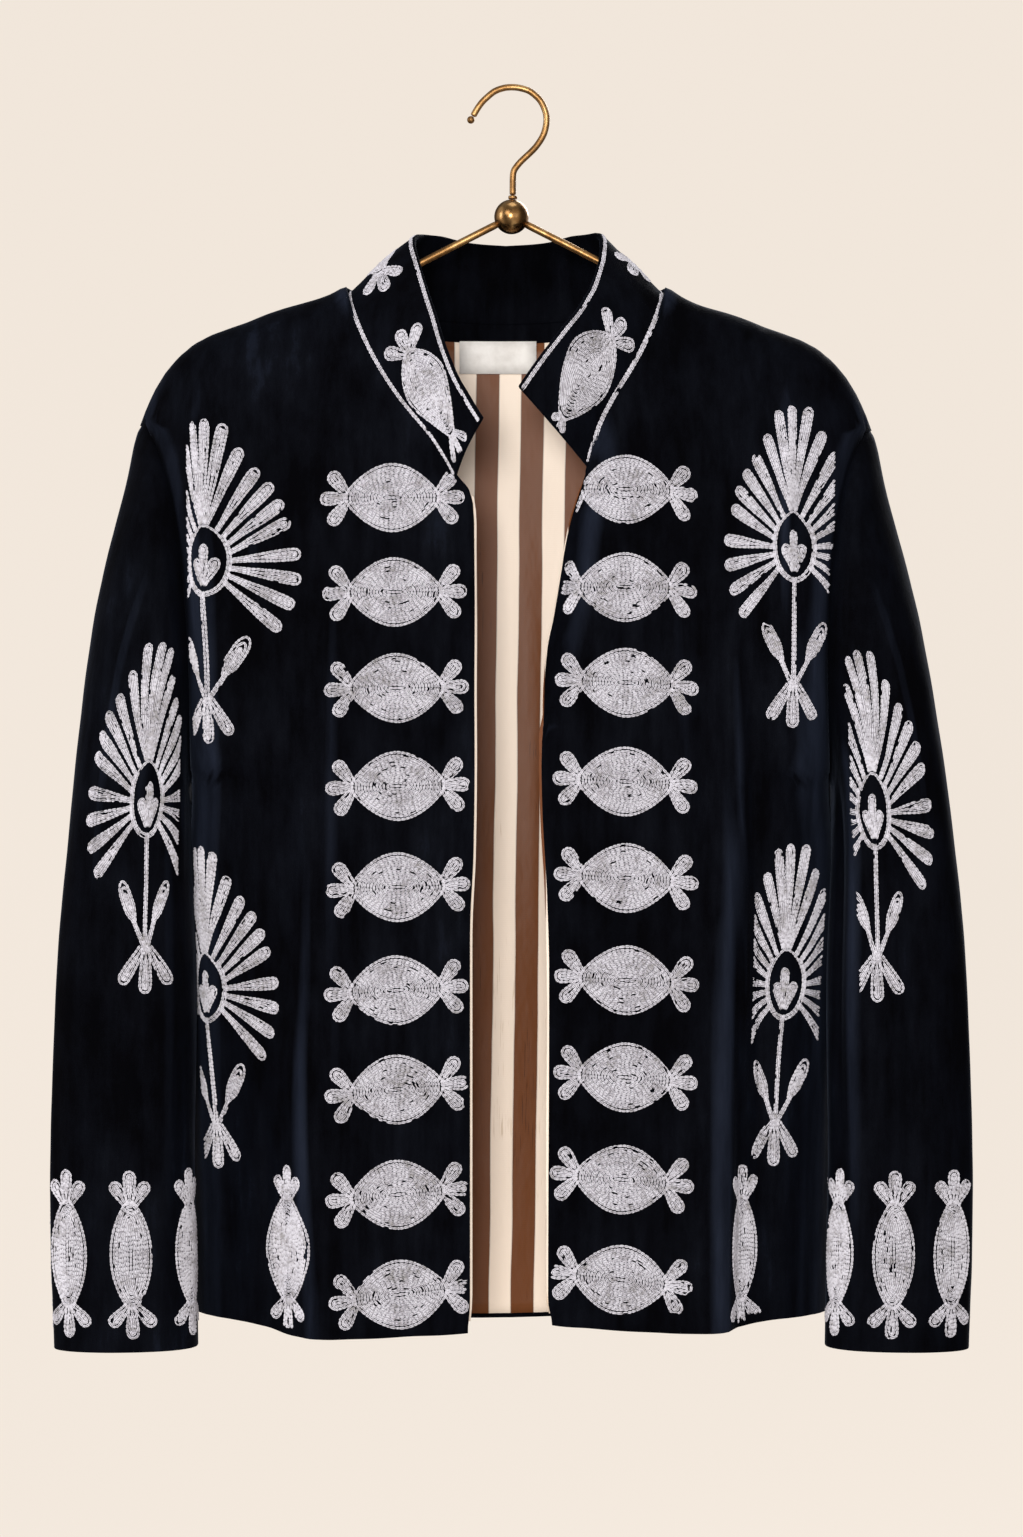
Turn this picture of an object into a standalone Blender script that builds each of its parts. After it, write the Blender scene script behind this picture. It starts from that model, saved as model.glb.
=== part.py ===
"""Open-front velvet jacket with a stand collar and striped lining, hanging on a brass hanger.

Sizes are in millimetres and become metres as each piece is made. The origin is the seat under the crown
of the hook, +Z is up and the front faces -Y. "Right" and "left" are the wearer's: the right side is at -X.
"Across" is measured outwards from the middle of the garment, and heights are negative below the hook.
"""

import math

import bmesh
import bpy
import numpy as np

MM = 0.001
COLLECTION = "velvet_jacket"
SIDES = {"right": -1, "left": 1}

# Walls and the clearances between them.
VELVET_WALL = 1.6
LINING_WALL = 1.0
COLLAR_WALL = 3.0
LABEL_WALL = 0.6
SEAM_GAP = 0.3
SHOULDER_SEAM_GAP = 0.6
SIDE_SEAM_GAP = 1.0
SLEEVE_SEAM_GAP = 2.0
COLLAR_SEAM_GAP = 1.4
COLLAR_TIP_GAP = 1.4

# The body: how far it stands forward and back, and the round of the shoulder over the hanger.
FRONT_DEPTH = 50.0
BACK_DEPTH = 43.0
SHOULDER_ROUND = 14.0
CHEST_FILL = 90.0
NECK_ACROSS = 99.0
NECK_HEIGHT = -122.5
NECK_BULGE = 21.0
BULGE_FADE = 70.0

# Armhole, from the shoulder tip to the underarm.
TIP_ACROSS, TIP_HEIGHT = 226.0, -207.0
UNDERARM_ACROSS, UNDERARM_HEIGHT = 197.0, -425.0
ARMHOLE_FRONT, ARMHOLE_BACK = 34.0, 30.0
ARMHOLE_SCOOP = 42.0
ARMHOLE_ROUND = 0.8

# The hang is a little off the hanger's middle at the shoulders and true at the hem.
SWAY = 3.5
SWAY_FROM, SWAY_TO = -250.0, -500.0

# The shoulders sit a little low on the hanger, the left one more, fading out down the body.
DROOP = {"right": 1.2, "left": 4.2}
DROOP_FROM, DROOP_TO = 92.0, 125.0
DROOP_FADE_FROM, DROOP_FADE_TO = -260.0, -600.0

# Brass hanger.
HOOK_WIRE = 4.0
HOOK_BEAD = 4.7
FERRULE_ACROSS, FERRULE_TALL = 5.6, 2.0
BALL_ACROSS = 21.4
BALL_HEIGHT = -78.4
HOOK = {
    "x": (0.8, 0.9, 3.7, 10.9, 17.3, 21.0, 21.8, 20.0, 14.6, 7.6, 0, -7.6, -14.6, -20.0, -23.8),
    "z": (-65, -53, -46.6, -39.4, -32, -23.9, -17.5, -10.3, -3, 0.9, HOOK_WIRE / 2, 0.7, -3.9, -9.6, -16),
}
HOOK_POINTS = 33
BEAD_WAY = (-0.52, -0.85)
ARM_WIRE = 4.6
ARM_DROP = 0.509
ARM_STRAIGHT = (30.0, 55.0, 78.0)
ARM_UNDER_SHOULDER = (98.0, 110.0, 122.0, 135.0, 150.0, 162.0, 173.0, 181.0)
ARM_SPARE = 0.3
ARM_DIP, ARM_DIP_WIDTH = 2.4, 12.0

# Height of the shoulder line against the distance across.
SHOULDER = {
    "across": (0, 60, 99, 108, 125, 145, 160, 175, 188, 198, 206, 213, 219, 223, 226),
    "height": (
        -112, -116, -122.5, -126.5, -131.5, -137.5, -143.5, -148.8,
        -154.5, -161.5, -169.5, -179, -190, -199, -207,
    ),
}

# The front neckline from the front edge up to the shoulder, and the back one.
NECKLINE = {
    "right": {
        "across": (30.5, 36, 45, 56, 67.5, 78, 88, 94, 97.5, 99),
        "height": (-243, -231, -217, -204.5, -190, -174, -155, -140, -129, -122.5),
    },
    "left": {
        "across": (50, 52, 54.5, 60, 68, 78, 88, 94, 97.5, 99),
        "height": (-237, -226, -216, -204.5, -190, -174, -155, -140, -129, -122.5),
    },
    "back": {
        "across": (0, 30, 60, 85, 99),
        "height": (-139, -138, -133.5, -127, -122.5),
    },
}

# The opening's edges: the right one falls straight, and the left one bows away from the neck.
FRONT_EDGE = {
    "right": {
        "height": (-243, -247.5, -253, -261, -279, -376, -473, -528, -740, -760),
        "across": (30.5, 24.7, 21.7, 19.9, 19.3, 20.8, 23, 25.2, 25.2, 26.4),
    },
    "left": {
        "height": (-237, -243, -258, -273, -303, -331, -349, -388, -431, -498, -558, -740, -756),
        "across": (50, 48, 43.3, 39, 33.4, 28.2, 24.3, 21.2, 19, 21.6, 22.8, 22.2, 24.6),
    },
}

# Side seam below the underarm.
SIDE_SEAM = {
    "height": (-425, -432, -445, -470, -500, -530, -600, -720, -765),
    "across": (197, 197, 197.6, 199.6, 200.1, 199.2, 198.8, 197, 196),
    "depth": (0, 1, 3, 4.5, 5.5, 6, 7, 8, 8),
}

HEM = {
    "right": {
        "across": (19, 28, 60, 100, 130, 150, 170, 193, 207),
        "height": (-759.5, -763, -764.5, -766, -765.5, -761.5, -759, -757, -756),
    },
    "left": {
        "across": (19, 28, 45, 82, 110, 138, 151, 171, 192, 207),
        "height": (-756, -758.5, -759.6, -762, -762.6, -760.5, -758.5, -757, -756.5, -756),
    },
    "back": {"across": (0, 80, 140, 180, 207), "height": (-767, -766, -763, -758, -756)},
}

# How much of the full depth is left on the way from the middle (share 0) to the side (share 1).
TURN = {
    "share": (0, 0.30, 0.50, 0.60, 0.66, 0.70, 0.78, 0.88, 0.94, 0.98, 1),
    "chest": (0.97, 1, 1, 1, 1, 0.99, 0.97, 0.90, 0.77, 0.50, 0),
    "hem_right": (0.96, 1, 1.02, 0.98, 0.88, 0.79, 0.64, 0.44, 0.31, 0.17, 0),
    "hem_left": (0.96, 1, 1.01, 1.04, 1.02, 0.76, 0.68, 0.52, 0.38, 0.20, 0),
    "back": (1, 1, 0.98, 0.94, 0.90, 0.87, 0.79, 0.64, 0.48, 0.28, 0),
}
TURN_FROM, TURN_TO = -300.0, -690.0

# Soft vertical folds: place across at their top and bottom, heights there, how far they lift, and half width.
FOLDS = {
    "right": {
        "across_top": (108, 176, 150),
        "height_top": (-300, -170, -520),
        "across_bottom": (112, 184, 118),
        "height_bottom": (-740, -330, -750),
        "lift": (2.0, 2.5, 3.0),
        "half_width": (14, 10, 14),
    },
    "left": {
        "across_top": (95, 168, 140),
        "height_top": (-260, -175, -380),
        "across_bottom": (104, 172, 134),
        "height_bottom": (-740, -330, -765),
        "lift": (1.8, 2.5, 3.5),
        "half_width": (16, 12, 13),
    },
    "back": {
        "across_top": (-150, -92, -30, 38, 100, 156),
        "height_top": (-260, -330, -300, -360, -310, -250),
        "across_bottom": (-166, -100, -34, 48, 112, 170),
        "height_bottom": (-790, -790, -790, -790, -790, -790),
        "lift": (6.0, 7.0, -5.0, 6.5, -4.5, 6.0),
        "half_width": (22, 24, 26, 25, 24, 22),
    },
}

# Sleeve rings from armhole to cuff: the outer and inner point, the middle's depth and the half depths.
SLEEVE = {
    "outer": (
        226, 229, 233.5, 241, 249.5, 257, 263, 268, 272, 275.4,
        277.8, 279.5, 281, 282.2, 282.8, 282.8, 282.2, 281.5, 281.2,
    ),
    "outer_height": (
        -207, -217, -240, -270, -305, -345, -388, -430, -470, -505,
        -540, -578, -615, -650, -685, -715, -742, -764, -774,
    ),
    "inner": (
        197, 199.9, 200.9, 201.2, 201.2, 200.9, 200.5, 199.8, 198.8, 197.6,
        196.4, 195.6, 195, 194.2, 192.8, 191.6, 190.8, 190.2, 190,
    ),
    "inner_height": (
        -425, -430, -435, -441, -448, -457, -468, -482, -502, -525,
        -552, -583, -617, -651, -685, -715, -742, -762, -773,
    ),
    "middle": (0, -2, -4, -6, -8, -10, -12, -14, -16, -18.5, -21, -23, -25, -26.5, -28, -29, -29.5, -30, -30),
    "front": (34, 39, 43, 44, 43, 41, 39.5, 38, 36, 34.5, 33, 31.5, 30, 29, 28, 27.5, 27, 27, 27),
    "back": (30, 33, 35, 35, 34, 33, 32, 31, 30, 29.5, 29, 28.5, 28, 27, 26, 25.5, 25, 25, 25),
    "scoop": (42, 36, 28, 20, 13, 8, 4, 1, 0, 0, 0, 0, 0, 0, 0, 0, 0, 0, 0),
}
SLEEVE_SEGMENTS = 24

# Long folds down a sleeve: where round the ring (degrees from the outer side over the front), how far they
# lift, their half width in degrees, and where along the sleeve they are strongest.
SLEEVE_FOLDS = {
    "around": (38, 78, 128, 225, 285, 325),
    "lift": (2.0, -2.6, 3.0, 3.0, -3.0, 2.2),
    "half_width": (15, 16, 15, 20, 20, 18),
    "peak": (0.35, 0.5, 0.6, 0.45, 0.6, 0.4),
    "reach": (0.30, 0.34, 0.36, 0.35, 0.4, 0.3),
}

# The collar's upper edge, from the front tip to the middle of the back.
COLLAR_TOP = {
    "share": (0, 0.085, 0.18, 0.31, 0.41, 0.49, 0.573, 0.64, 0.74, 0.87, 1),
    "right": {
        "across": (13.5, 22.7, 32.4, 41.9, 48.4, 52.6, 56.0, 53.5, 42.0, 22.6, 0),
        "depth": (-72, -65, -55, -37, -22, -10, 2, 13, 26, 35, 38),
        "height": (-210, -194.3, -174.2, -144.5, -124, -109, -94.3, -88, -86.5, -89.6, -91),
    },
    "left": {
        "across": (7.4, 19.5, 33.0, 47.5, 54.0, 57.5, 58.5, 54.0, 43.0, 24.0, 0),
        "depth": (-56, -54, -49, -34, -20, -8, 4, 14, 25, 34, 38),
        "height": (-189.5, -172, -154, -133, -118, -104, -92, -86.8, -86.5, -89.8, -91),
    },
}
COLLAR_ROLL = 2.5
COLLAR_ROWS = (0, 0.25, 0.5, 0.75, 1)

# Where the panels' columns (share of the width) and rows (share of the height) run.
NECK_COLUMNS = (0, 0.14, 0.3, 0.48, 0.66, 0.84, 1)
SHOULDER_COLUMNS = (0.13, 0.25, 0.36, 0.45, 0.54, 0.66, 0.78, 0.89, 0.96, 1)
BACK_COLUMNS = (0, 0.15, 0.30, 0.438, 0.53, 0.62, 0.71, 0.80, 0.88, 0.94, 0.98, 1)
ROWS = (0, 0.0012, 0.005, 0.012, 0.024, 0.048, 0.09, 0.15, 0.225, 0.31, 0.398, 0.49, 0.6, 0.73, 0.87, 1)
LINING_FIRST_ROW = 4
LINING_HEM_LIFT = 3.0
LINING_GAP = 0.5

# The label inside the back neck: its size, its middle (x and height) and its clearance over the lining.
LABEL_SIZE = (49.0, 20.5)
LABEL_MIDDLE = (-8.6, -161.5)
LABEL_GAP = 0.9

COLOURS = {
    "velvet": (0.006, 0.007, 0.011, 1),
    "lining": (0.62, 0.45, 0.30, 1),
    "label": (0.80, 0.77, 0.72, 1),
    "brass": (0.45, 0.28, 0.09, 1),
}


def curve_through(given, wanted):
    """A smooth curve through the points that never swings past them, as a function of `given`."""
    x, y = np.asarray(given, float), np.asarray(wanted, float)
    if x[0] > x[-1]:
        x, y = x[::-1], y[::-1]
    step = np.diff(x)
    slope = np.diff(y) / step
    tangent = np.concatenate([slope[:1], np.zeros(len(x) - 2), slope[-1:]])
    same_way = slope[:-1] * slope[1:] > 0
    both = np.where(same_way, slope[:-1] + slope[1:], 1)
    tangent[1:-1] = np.where(same_way, 2 * slope[:-1] * slope[1:] / both, 0)

    def at(value):
        value = np.clip(value, x[0], x[-1])
        k = np.clip(np.searchsorted(x, value) - 1, 0, len(step) - 1)
        t = (value - x[k]) / step[k]
        start = y[k] + step[k] * tangent[k] * t
        end = y[k + 1] - step[k] * tangent[k + 1] * (1 - t)
        return start + (end - start) * t * t * (3 - 2 * t)

    return at


def ease(value, start, end):
    """0 before start and 1 after end, with a soft change between."""
    t = np.clip((value - start) / (end - start), 0, 1)
    return t * t * (3 - 2 * t)


shoulder_height = curve_through(SHOULDER["across"], SHOULDER["height"])
side_across = curve_through(SIDE_SEAM["height"], SIDE_SEAM["across"])
side_depth = curve_through(SIDE_SEAM["height"], SIDE_SEAM["depth"])


def sway(height):
    return SWAY * (1 - ease(-height, -SWAY_FROM, -SWAY_TO))


def armhole(height):
    """Across, and the depth in front and behind as positive numbers, at a height on the armhole."""
    t = np.clip((TIP_HEIGHT - height) / (TIP_HEIGHT - UNDERARM_HEIGHT), 0, 1)
    across = TIP_ACROSS + (UNDERARM_ACROSS - TIP_ACROSS) * t - ARMHOLE_SCOOP * np.sqrt(t) * (1 - t)
    bow = (2 * np.sqrt(t * (1 - t))) ** ARMHOLE_ROUND
    return across, ARMHOLE_FRONT * bow, ARMHOLE_BACK * bow


def outer_edge(height):
    """Across of a body panel's outer edge: the armhole above the underarm and the side seam below."""
    return np.where(height > UNDERARM_HEIGHT, armhole(height)[0], side_across(height))


def full_depth(across, height, depth):
    """How far the cloth stands off the hanger's plane, growing below the rounded shoulder line."""
    below = np.maximum(shoulder_height(across) - height, 0)
    rounded = np.sqrt(1 - (1 - np.clip(below / SHOULDER_ROUND, 0, 1)) ** 2)
    return SHOULDER_ROUND * rounded + (depth - SHOULDER_ROUND) * (1 - np.exp(-below / CHEST_FILL))


def fold_lift(table, across, height):
    """The sum of the soft folds at a place."""
    total = np.zeros(np.broadcast(across, height).shape)
    for top, high, bottom, low, lift, half in zip(*table.values()):
        along = np.clip((high - height) / (high - low), 0, 1)
        middle = top + (bottom - top) * along
        total += lift * ease(along, 0, 0.45) * np.exp(-(((across - middle) / half) ** 2))
    return total


def seam_room(share):
    """Half the clearance between front and back, wider where the walls meet at the side seam."""
    return (SHOULDER_SEAM_GAP + (SIDE_SEAM_GAP - SHOULDER_SEAM_GAP) * ease(share, 0.95, 1)) / 2


def front_surface(side, across, height):
    """Depth (negative, towards the viewer) of a front's cloth."""
    share = np.clip(across / outer_edge(height), 0, 1)
    chest = curve_through(TURN["share"], TURN["chest"])(share)
    hem = curve_through(TURN["share"], TURN["hem_" + side])(share)
    low = ease(-height, -TURN_FROM, -TURN_TO)
    turn = chest + (hem - chest) * low
    edge = np.where(height > UNDERARM_HEIGHT, -armhole(height)[1], side_depth(height))
    full = full_depth(across, height, FRONT_DEPTH)
    folds = fold_lift(FOLDS[side], across, height) * (1 - ease(share, 0.9, 1))
    return edge - (full + edge) * turn - folds - seam_room(share)


def back_surface(x, height):
    """Depth (positive) of the back's cloth, pushed out at the neck by the collar."""
    across = np.abs(x)
    share = np.clip(across / outer_edge(height), 0, 1)
    turn = curve_through(TURN["share"], TURN["back"])(share)
    chest = 1 - share**8
    turn = turn + (np.maximum(turn, chest) - turn) * (1 - ease(-height, -TURN_FROM, -TURN_TO))
    edge = np.where(height > UNDERARM_HEIGHT, armhole(height)[2], side_depth(height))
    full = full_depth(across, height, BACK_DEPTH)
    neck = curve_through(NECKLINE["back"]["across"], NECKLINE["back"]["height"])(across)
    bulge = NECK_BULGE * np.clip(1 - (across / NECK_ACROSS) ** 2, 0, 1)
    bulge = bulge * np.exp(-np.maximum(neck - height, 0) / BULGE_FADE)
    folds = fold_lift(FOLDS["back"], x, height) * (1 - ease(share, 0.9, 1))
    return edge + (full - edge) * turn + bulge + folds + seam_room(share)


def label_grid():
    """The label's points, on the back lining just under its top edge."""
    across = np.linspace(-0.5, 0.5, 7) * LABEL_SIZE[0] + LABEL_MIDDLE[0]
    down = np.linspace(0.5, -0.5, 4) * LABEL_SIZE[1] + LABEL_MIDDLE[1]
    x, z = np.meshgrid(across, down)
    grid = np.stack([x, back_surface(x + sway(z), z), z], axis=-1)
    inwards = VELVET_WALL / 2 + LINING_GAP + LINING_WALL + LABEL_GAP + LABEL_WALL / 2
    return grid - normals(grid) * inwards


def droop(x, height):
    """How far the cloth hangs below its even place, at x before the sway."""
    amount = np.where(np.asarray(x) < 0, DROOP["right"], DROOP["left"])
    fade = 1 - ease(-height, -DROOP_FADE_FROM, -DROOP_FADE_TO)
    return amount * ease(np.abs(x), DROOP_FROM, DROOP_TO) * fade


def hung(points):
    """Points moved from their even places to where the hanging jacket has them."""
    x, height = points[..., 0].copy(), points[..., 2].copy()
    points[..., 0] = x - sway(height)
    points[..., 2] = height - droop(x, height)
    return points


def front_columns(side):
    """Shares of the width: those of the neckline from the front edge, then those of the shoulder."""
    first = NECKLINE[side]["across"][0]
    split = (NECK_ACROSS - first) / (TIP_ACROSS - first)
    neck, shoulder = np.array(NECK_COLUMNS), np.array(SHOULDER_COLUMNS)
    return np.concatenate([neck * split, split + shoulder * (1 - split)])


def front_grid(side):
    """Rows from the neckline and shoulder down to the hem, columns from the opening to the side."""
    edge = curve_through(FRONT_EDGE[side]["height"], FRONT_EDGE[side]["across"])
    neck = curve_through(NECKLINE[side]["across"], NECKLINE[side]["height"])
    hem = curve_through(HEM[side]["across"], HEM[side]["height"])
    column = front_columns(side)
    first = NECKLINE[side]["across"][0]
    top_across = first + (TIP_ACROSS - first) * column
    top = np.where(top_across <= NECK_ACROSS, neck(top_across), shoulder_height(top_across))
    low_across = edge(HEM[side]["height"][0]) + (side_across(-760.0) - edge(-760.0)) * column
    low = hem(low_across)
    height = top + (low - top) * np.array(ROWS)[:, None]
    inner = edge(height)
    across = inner + (outer_edge(height) - inner) * column
    across[0] = top_across
    depth = front_surface(side, across, height)
    return hung(np.stack([SIDES[side] * across, depth, height], axis=-1))


def back_grid():
    """Rows from the neckline and shoulders down to the hem, columns from the right side to the left."""
    half = np.array(BACK_COLUMNS)
    column = np.concatenate([-half[:0:-1], half])
    neck = curve_through(NECKLINE["back"]["across"], NECKLINE["back"]["height"])
    hem = curve_through(HEM["back"]["across"], HEM["back"]["height"])
    top_x = TIP_ACROSS * column
    top = np.where(np.abs(top_x) < NECK_ACROSS, neck(np.abs(top_x)), shoulder_height(np.abs(top_x)))
    low = hem(np.abs(column) * side_across(-760.0))
    height = top + (low - top) * np.array(ROWS)[:, None]
    x = outer_edge(height) * column
    x[0] = top_x
    return hung(np.stack([x, back_surface(x, height), height], axis=-1))


def sleeve_grid(side):
    """Rings from armhole to cuff, each from the outer side over the front to the inner side and back."""
    ring = {name: np.array(values, float)[:, None] for name, values in SLEEVE.items()}
    around = 2 * math.pi * np.arange(SLEEVE_SEGMENTS) / SLEEVE_SEGMENTS
    t = ((1 - np.cos(around)) / 2)[None, :]
    bow = (2 * np.sqrt(t * (1 - t))) ** ARMHOLE_ROUND
    across = ring["outer"] + (ring["inner"] - ring["outer"]) * t - ring["scoop"] * np.sqrt(t) * (1 - t)
    height = ring["outer_height"] + (ring["inner_height"] - ring["outer_height"]) * t
    in_front = np.sin(around)[None, :] > 0
    depth = ring["middle"] + np.where(in_front, -ring["front"], ring["back"]) * bow
    along = np.linspace(0, 1, len(SLEEVE["outer"]))[:, None]
    lift = np.zeros_like(depth)
    for place, rise, half, peak, reach in zip(*SLEEVE_FOLDS.values()):
        apart = np.degrees(around)[None, :] - place
        lift += rise * np.exp(-((apart / half) ** 2)) * np.exp(-(((along - peak) / reach) ** 2))
    centre_across = (ring["outer"] + ring["inner"]) / 2
    centre_depth = ring["middle"]
    fade = ease(along, 0.04, 0.2) * (1 - 0.6 * ease(along, 0.9, 1))
    away = np.hypot(across - centre_across, depth - centre_depth)
    across = across + lift * fade * (across - centre_across) / away
    depth = depth + lift * fade * (depth - centre_depth) / away
    across[0] += SLEEVE_SEAM_GAP
    return hung(np.stack([SIDES[side] * across, depth, height], axis=-1))


def collar_grid(fronts, back):
    """Rows from the neckline seam up to the edge, columns from the right tip round to the left tip."""
    neck_columns = len(NECK_COLUMNS)
    back_neck = [k for k, x in enumerate(back[0, :, 0]) if abs(x + sway(NECK_HEIGHT)) < NECK_ACROSS - 1]
    rows = []
    middle = len(back_neck) // 2
    for side, half in (("right", back_neck[: middle + 1]), ("left", back_neck[: middle - 1 : -1])):
        base = np.concatenate([fronts[side][0, :neck_columns], back[0, half]])
        share = np.concatenate([[0], np.cumsum(np.linalg.norm(np.diff(base, axis=0), axis=1))])
        share = share / share[-1]
        table = COLLAR_TOP[side]
        axes = ("across", "depth", "height")
        edge = [curve_through(COLLAR_TOP["share"], table[name])(share) for name in axes]
        edge = hung(np.stack([SIDES[side] * edge[0], edge[1], edge[2]], axis=-1))
        rise = edge - base
        length = np.linalg.norm(rise, axis=1, keepdims=True)
        along = np.gradient(base, axis=0)
        out = np.cross(along, rise) * SIDES[side]
        out = out / np.linalg.norm(out, axis=1, keepdims=True)
        foot = (COLLAR_SEAM_GAP + COLLAR_TIP_GAP * ease(-share[:, None], -0.08, 0)) / length
        share_up = [foot + (1 - foot) * row for row in COLLAR_ROWS]
        bowed = [out * COLLAR_ROLL * np.sin(math.pi * row) for row in COLLAR_ROWS]
        rows.append([base + rise * up + bow for up, bow in zip(share_up, bowed)])
    right, left = (np.array(half) for half in rows)
    return np.concatenate([right, left[:, -2::-1]], axis=1)


def normals(grid):
    """Unit normals of a grid of points, towards the viewer for a front and away for the back."""
    n = np.cross(np.gradient(grid, axis=1), np.gradient(grid, axis=0))
    return n / np.linalg.norm(n, axis=-1, keepdims=True)


def material(name, roughness, metallic=0.0):
    made = bpy.data.materials.new(name)
    made.use_nodes = True
    shader = made.node_tree.nodes["Principled BSDF"]
    shader.inputs["Base Color"].default_value = COLOURS[name]
    shader.inputs["Roughness"].default_value = roughness
    shader.inputs["Metallic"].default_value = metallic
    made.diffuse_color = COLOURS[name]
    return made


def piece(name, mesh, finish):
    """Links a mesh as a named object with its finish."""
    mesh.materials.append(finish)
    mesh.shade_smooth()
    made = bpy.data.objects.new(name, mesh)
    bpy.data.collections[COLLECTION].objects.link(made)
    return made


def cloth(name, grid, wall, finish, closed=False):
    """A wall of cloth lofted through rows of points, half its thickness to each side of them."""
    rows, columns = grid.shape[:2]
    last = columns if closed else columns - 1
    faces = []
    for i in range(rows - 1):
        for j in range(last):
            k = (j + 1) % columns
            faces.append((i * columns + j, i * columns + k, (i + 1) * columns + k, (i + 1) * columns + j))
    mesh = bpy.data.meshes.new(name)
    mesh.from_pydata((grid.reshape(-1, 3) * MM).tolist(), [], faces)
    made = piece(name, mesh, finish)
    wall_modifier = made.modifiers.new("wall", "SOLIDIFY")
    wall_modifier.thickness = wall * MM
    wall_modifier.offset = 0
    return made


def lining_grid(grid, inward, kept):
    """A lining's points: the panel's own in the kept columns, moved inwards clear of the velvet's wall."""
    moved = grid + normals(grid) * inward * (VELVET_WALL / 2 + LINING_GAP + LINING_WALL / 2)
    moved[-1, :, 2] += LINING_HEM_LIFT
    return moved[LINING_FIRST_ROW:, kept]


def wire(name, points, across, finish, sides=2):
    """A round rod through points."""
    data = bpy.data.curves.new(name, "CURVE")
    data.dimensions = "3D"
    data.bevel_depth = across / 2 * MM
    data.bevel_resolution = sides
    data.use_fill_caps = True
    spline = data.splines.new("POLY")
    spline.points.add(len(points) - 1)
    for spot, place in zip(spline.points, points):
        spot.co = (*(np.asarray(place) * MM), 1)
    data.materials.append(finish)
    made = bpy.data.objects.new(name, data)
    bpy.data.collections[COLLECTION].objects.link(made)
    return made


def hook_line():
    """The hook's wire: up from the ball, out to the left, over the crown and down to its open end."""
    spot = np.arange(len(HOOK["x"]), dtype=float)
    fine = np.linspace(0, spot[-1], HOOK_POINTS)
    x, z = (curve_through(spot, HOOK[name])(fine) for name in ("x", "z"))
    return [(a, 0, b) for a, b in zip(x, z)]


def arm_line(side):
    """A hanger arm: straight out of the ball, then easing over to run close under the shoulder seam."""
    sign = SIDES[side]
    start = BALL_ACROSS / 2 + SEAM_GAP
    slope = math.atan(ARM_DROP)
    points = [(sign * start * math.cos(slope), 0, BALL_HEIGHT - start * math.sin(slope))]
    for across in ARM_STRAIGHT:
        points.append((sign * across, 0, BALL_HEIGHT - ARM_DROP * across))
    clearance = VELVET_WALL / 2 + SEAM_GAP + ARM_WIRE / 2 + ARM_SPARE
    for across in ARM_UNDER_SHOULDER:
        fall = float(shoulder_height(across) - shoulder_height(across + 1))
        dip = ARM_DIP * math.exp(-(((across - NECK_ACROSS) / ARM_DIP_WIDTH) ** 2))
        height = float(shoulder_height(across)) - clearance * math.hypot(1, fall) - dip
        points.append((sign * across - float(sway(height)), 0, height - float(droop(sign * across, height))))
    return points


def ball(name, across, place, finish):
    mesh = bpy.data.meshes.new(name)
    shape = bmesh.new()
    bmesh.ops.create_uvsphere(shape, u_segments=20, v_segments=12, radius=across / 2 * MM)
    shape.to_mesh(mesh)
    shape.free()
    made = piece(name, mesh, finish)
    made.location = [v * MM for v in place]
    return made


def ring(name, across, tall, place, finish):
    mesh = bpy.data.meshes.new(name)
    shape = bmesh.new()
    radius = across / 2 * MM
    bmesh.ops.create_cone(shape, cap_ends=True, segments=20, radius1=radius, radius2=radius, depth=tall * MM)
    shape.to_mesh(mesh)
    shape.free()
    made = piece(name, mesh, finish)
    made.location = [v * MM for v in place]
    return made


def hanger(brass):
    wire("hanger_hook", hook_line(), HOOK_WIRE, brass)
    tip_x, _, tip_z = hook_line()[-1]
    reach = HOOK_BEAD / 2 + SEAM_GAP
    ball("hanger_bead", HOOK_BEAD, (tip_x + BEAD_WAY[0] * reach, 0, tip_z + BEAD_WAY[1] * reach), brass)
    ball("hanger_ball", BALL_ACROSS, (0, 0, BALL_HEIGHT), brass)
    seat = BALL_HEIGHT + BALL_ACROSS / 2 + SEAM_GAP + FERRULE_TALL / 2
    ring("hanger_ferrule", FERRULE_ACROSS, FERRULE_TALL, (HOOK["x"][0], 0, seat), brass)
    for side in SIDES:
        wire(f"hanger_arm_{side}", arm_line(side), ARM_WIRE, brass)


def jacket(velvet, lining, label):
    fronts = {side: front_grid(side) for side in SIDES}
    back = back_grid()
    for side in SIDES:
        inward = SIDES[side]
        cloth(f"front_{side}", fronts[side], VELVET_WALL, velvet)
        cloth(f"lining_front_{side}", lining_grid(fronts[side], inward, slice(None, -2)), LINING_WALL, lining)
        cloth(f"sleeve_{side}", sleeve_grid(side), VELVET_WALL, velvet, closed=True)
    cloth("back", back, VELVET_WALL, velvet)
    cloth("lining_back", lining_grid(back, -1, slice(2, -2)), LINING_WALL, lining)
    cloth("collar", collar_grid(fronts, back), COLLAR_WALL, velvet)
    cloth("label", label_grid(), LABEL_WALL, label)


def main():
    for old in list(bpy.data.objects):
        bpy.data.objects.remove(old)
    bpy.context.scene.collection.children.link(bpy.data.collections.new(COLLECTION))
    velvet = material("velvet", 0.85)
    lining = material("lining", 0.4)
    label = material("label", 0.7)
    brass = material("brass", 0.3, 1.0)
    jacket(velvet, lining, label)
    hanger(brass)


main()
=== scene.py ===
"""Looks of the embroidered velvet jacket on its brass hanger.

Places and sizes are in millimetres, as the maker would give them, and become metres as each mesh is made.
The origin is the seat under the hook's crown, +Z is up and the jacket's front faces -Y. "Right" and "left"
are the wearer's: the right side is at -X. The shape tables are the garment's own and are repeated here,
so that the fine cloth lies just where the plain walls lie.
"""

import math

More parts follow.
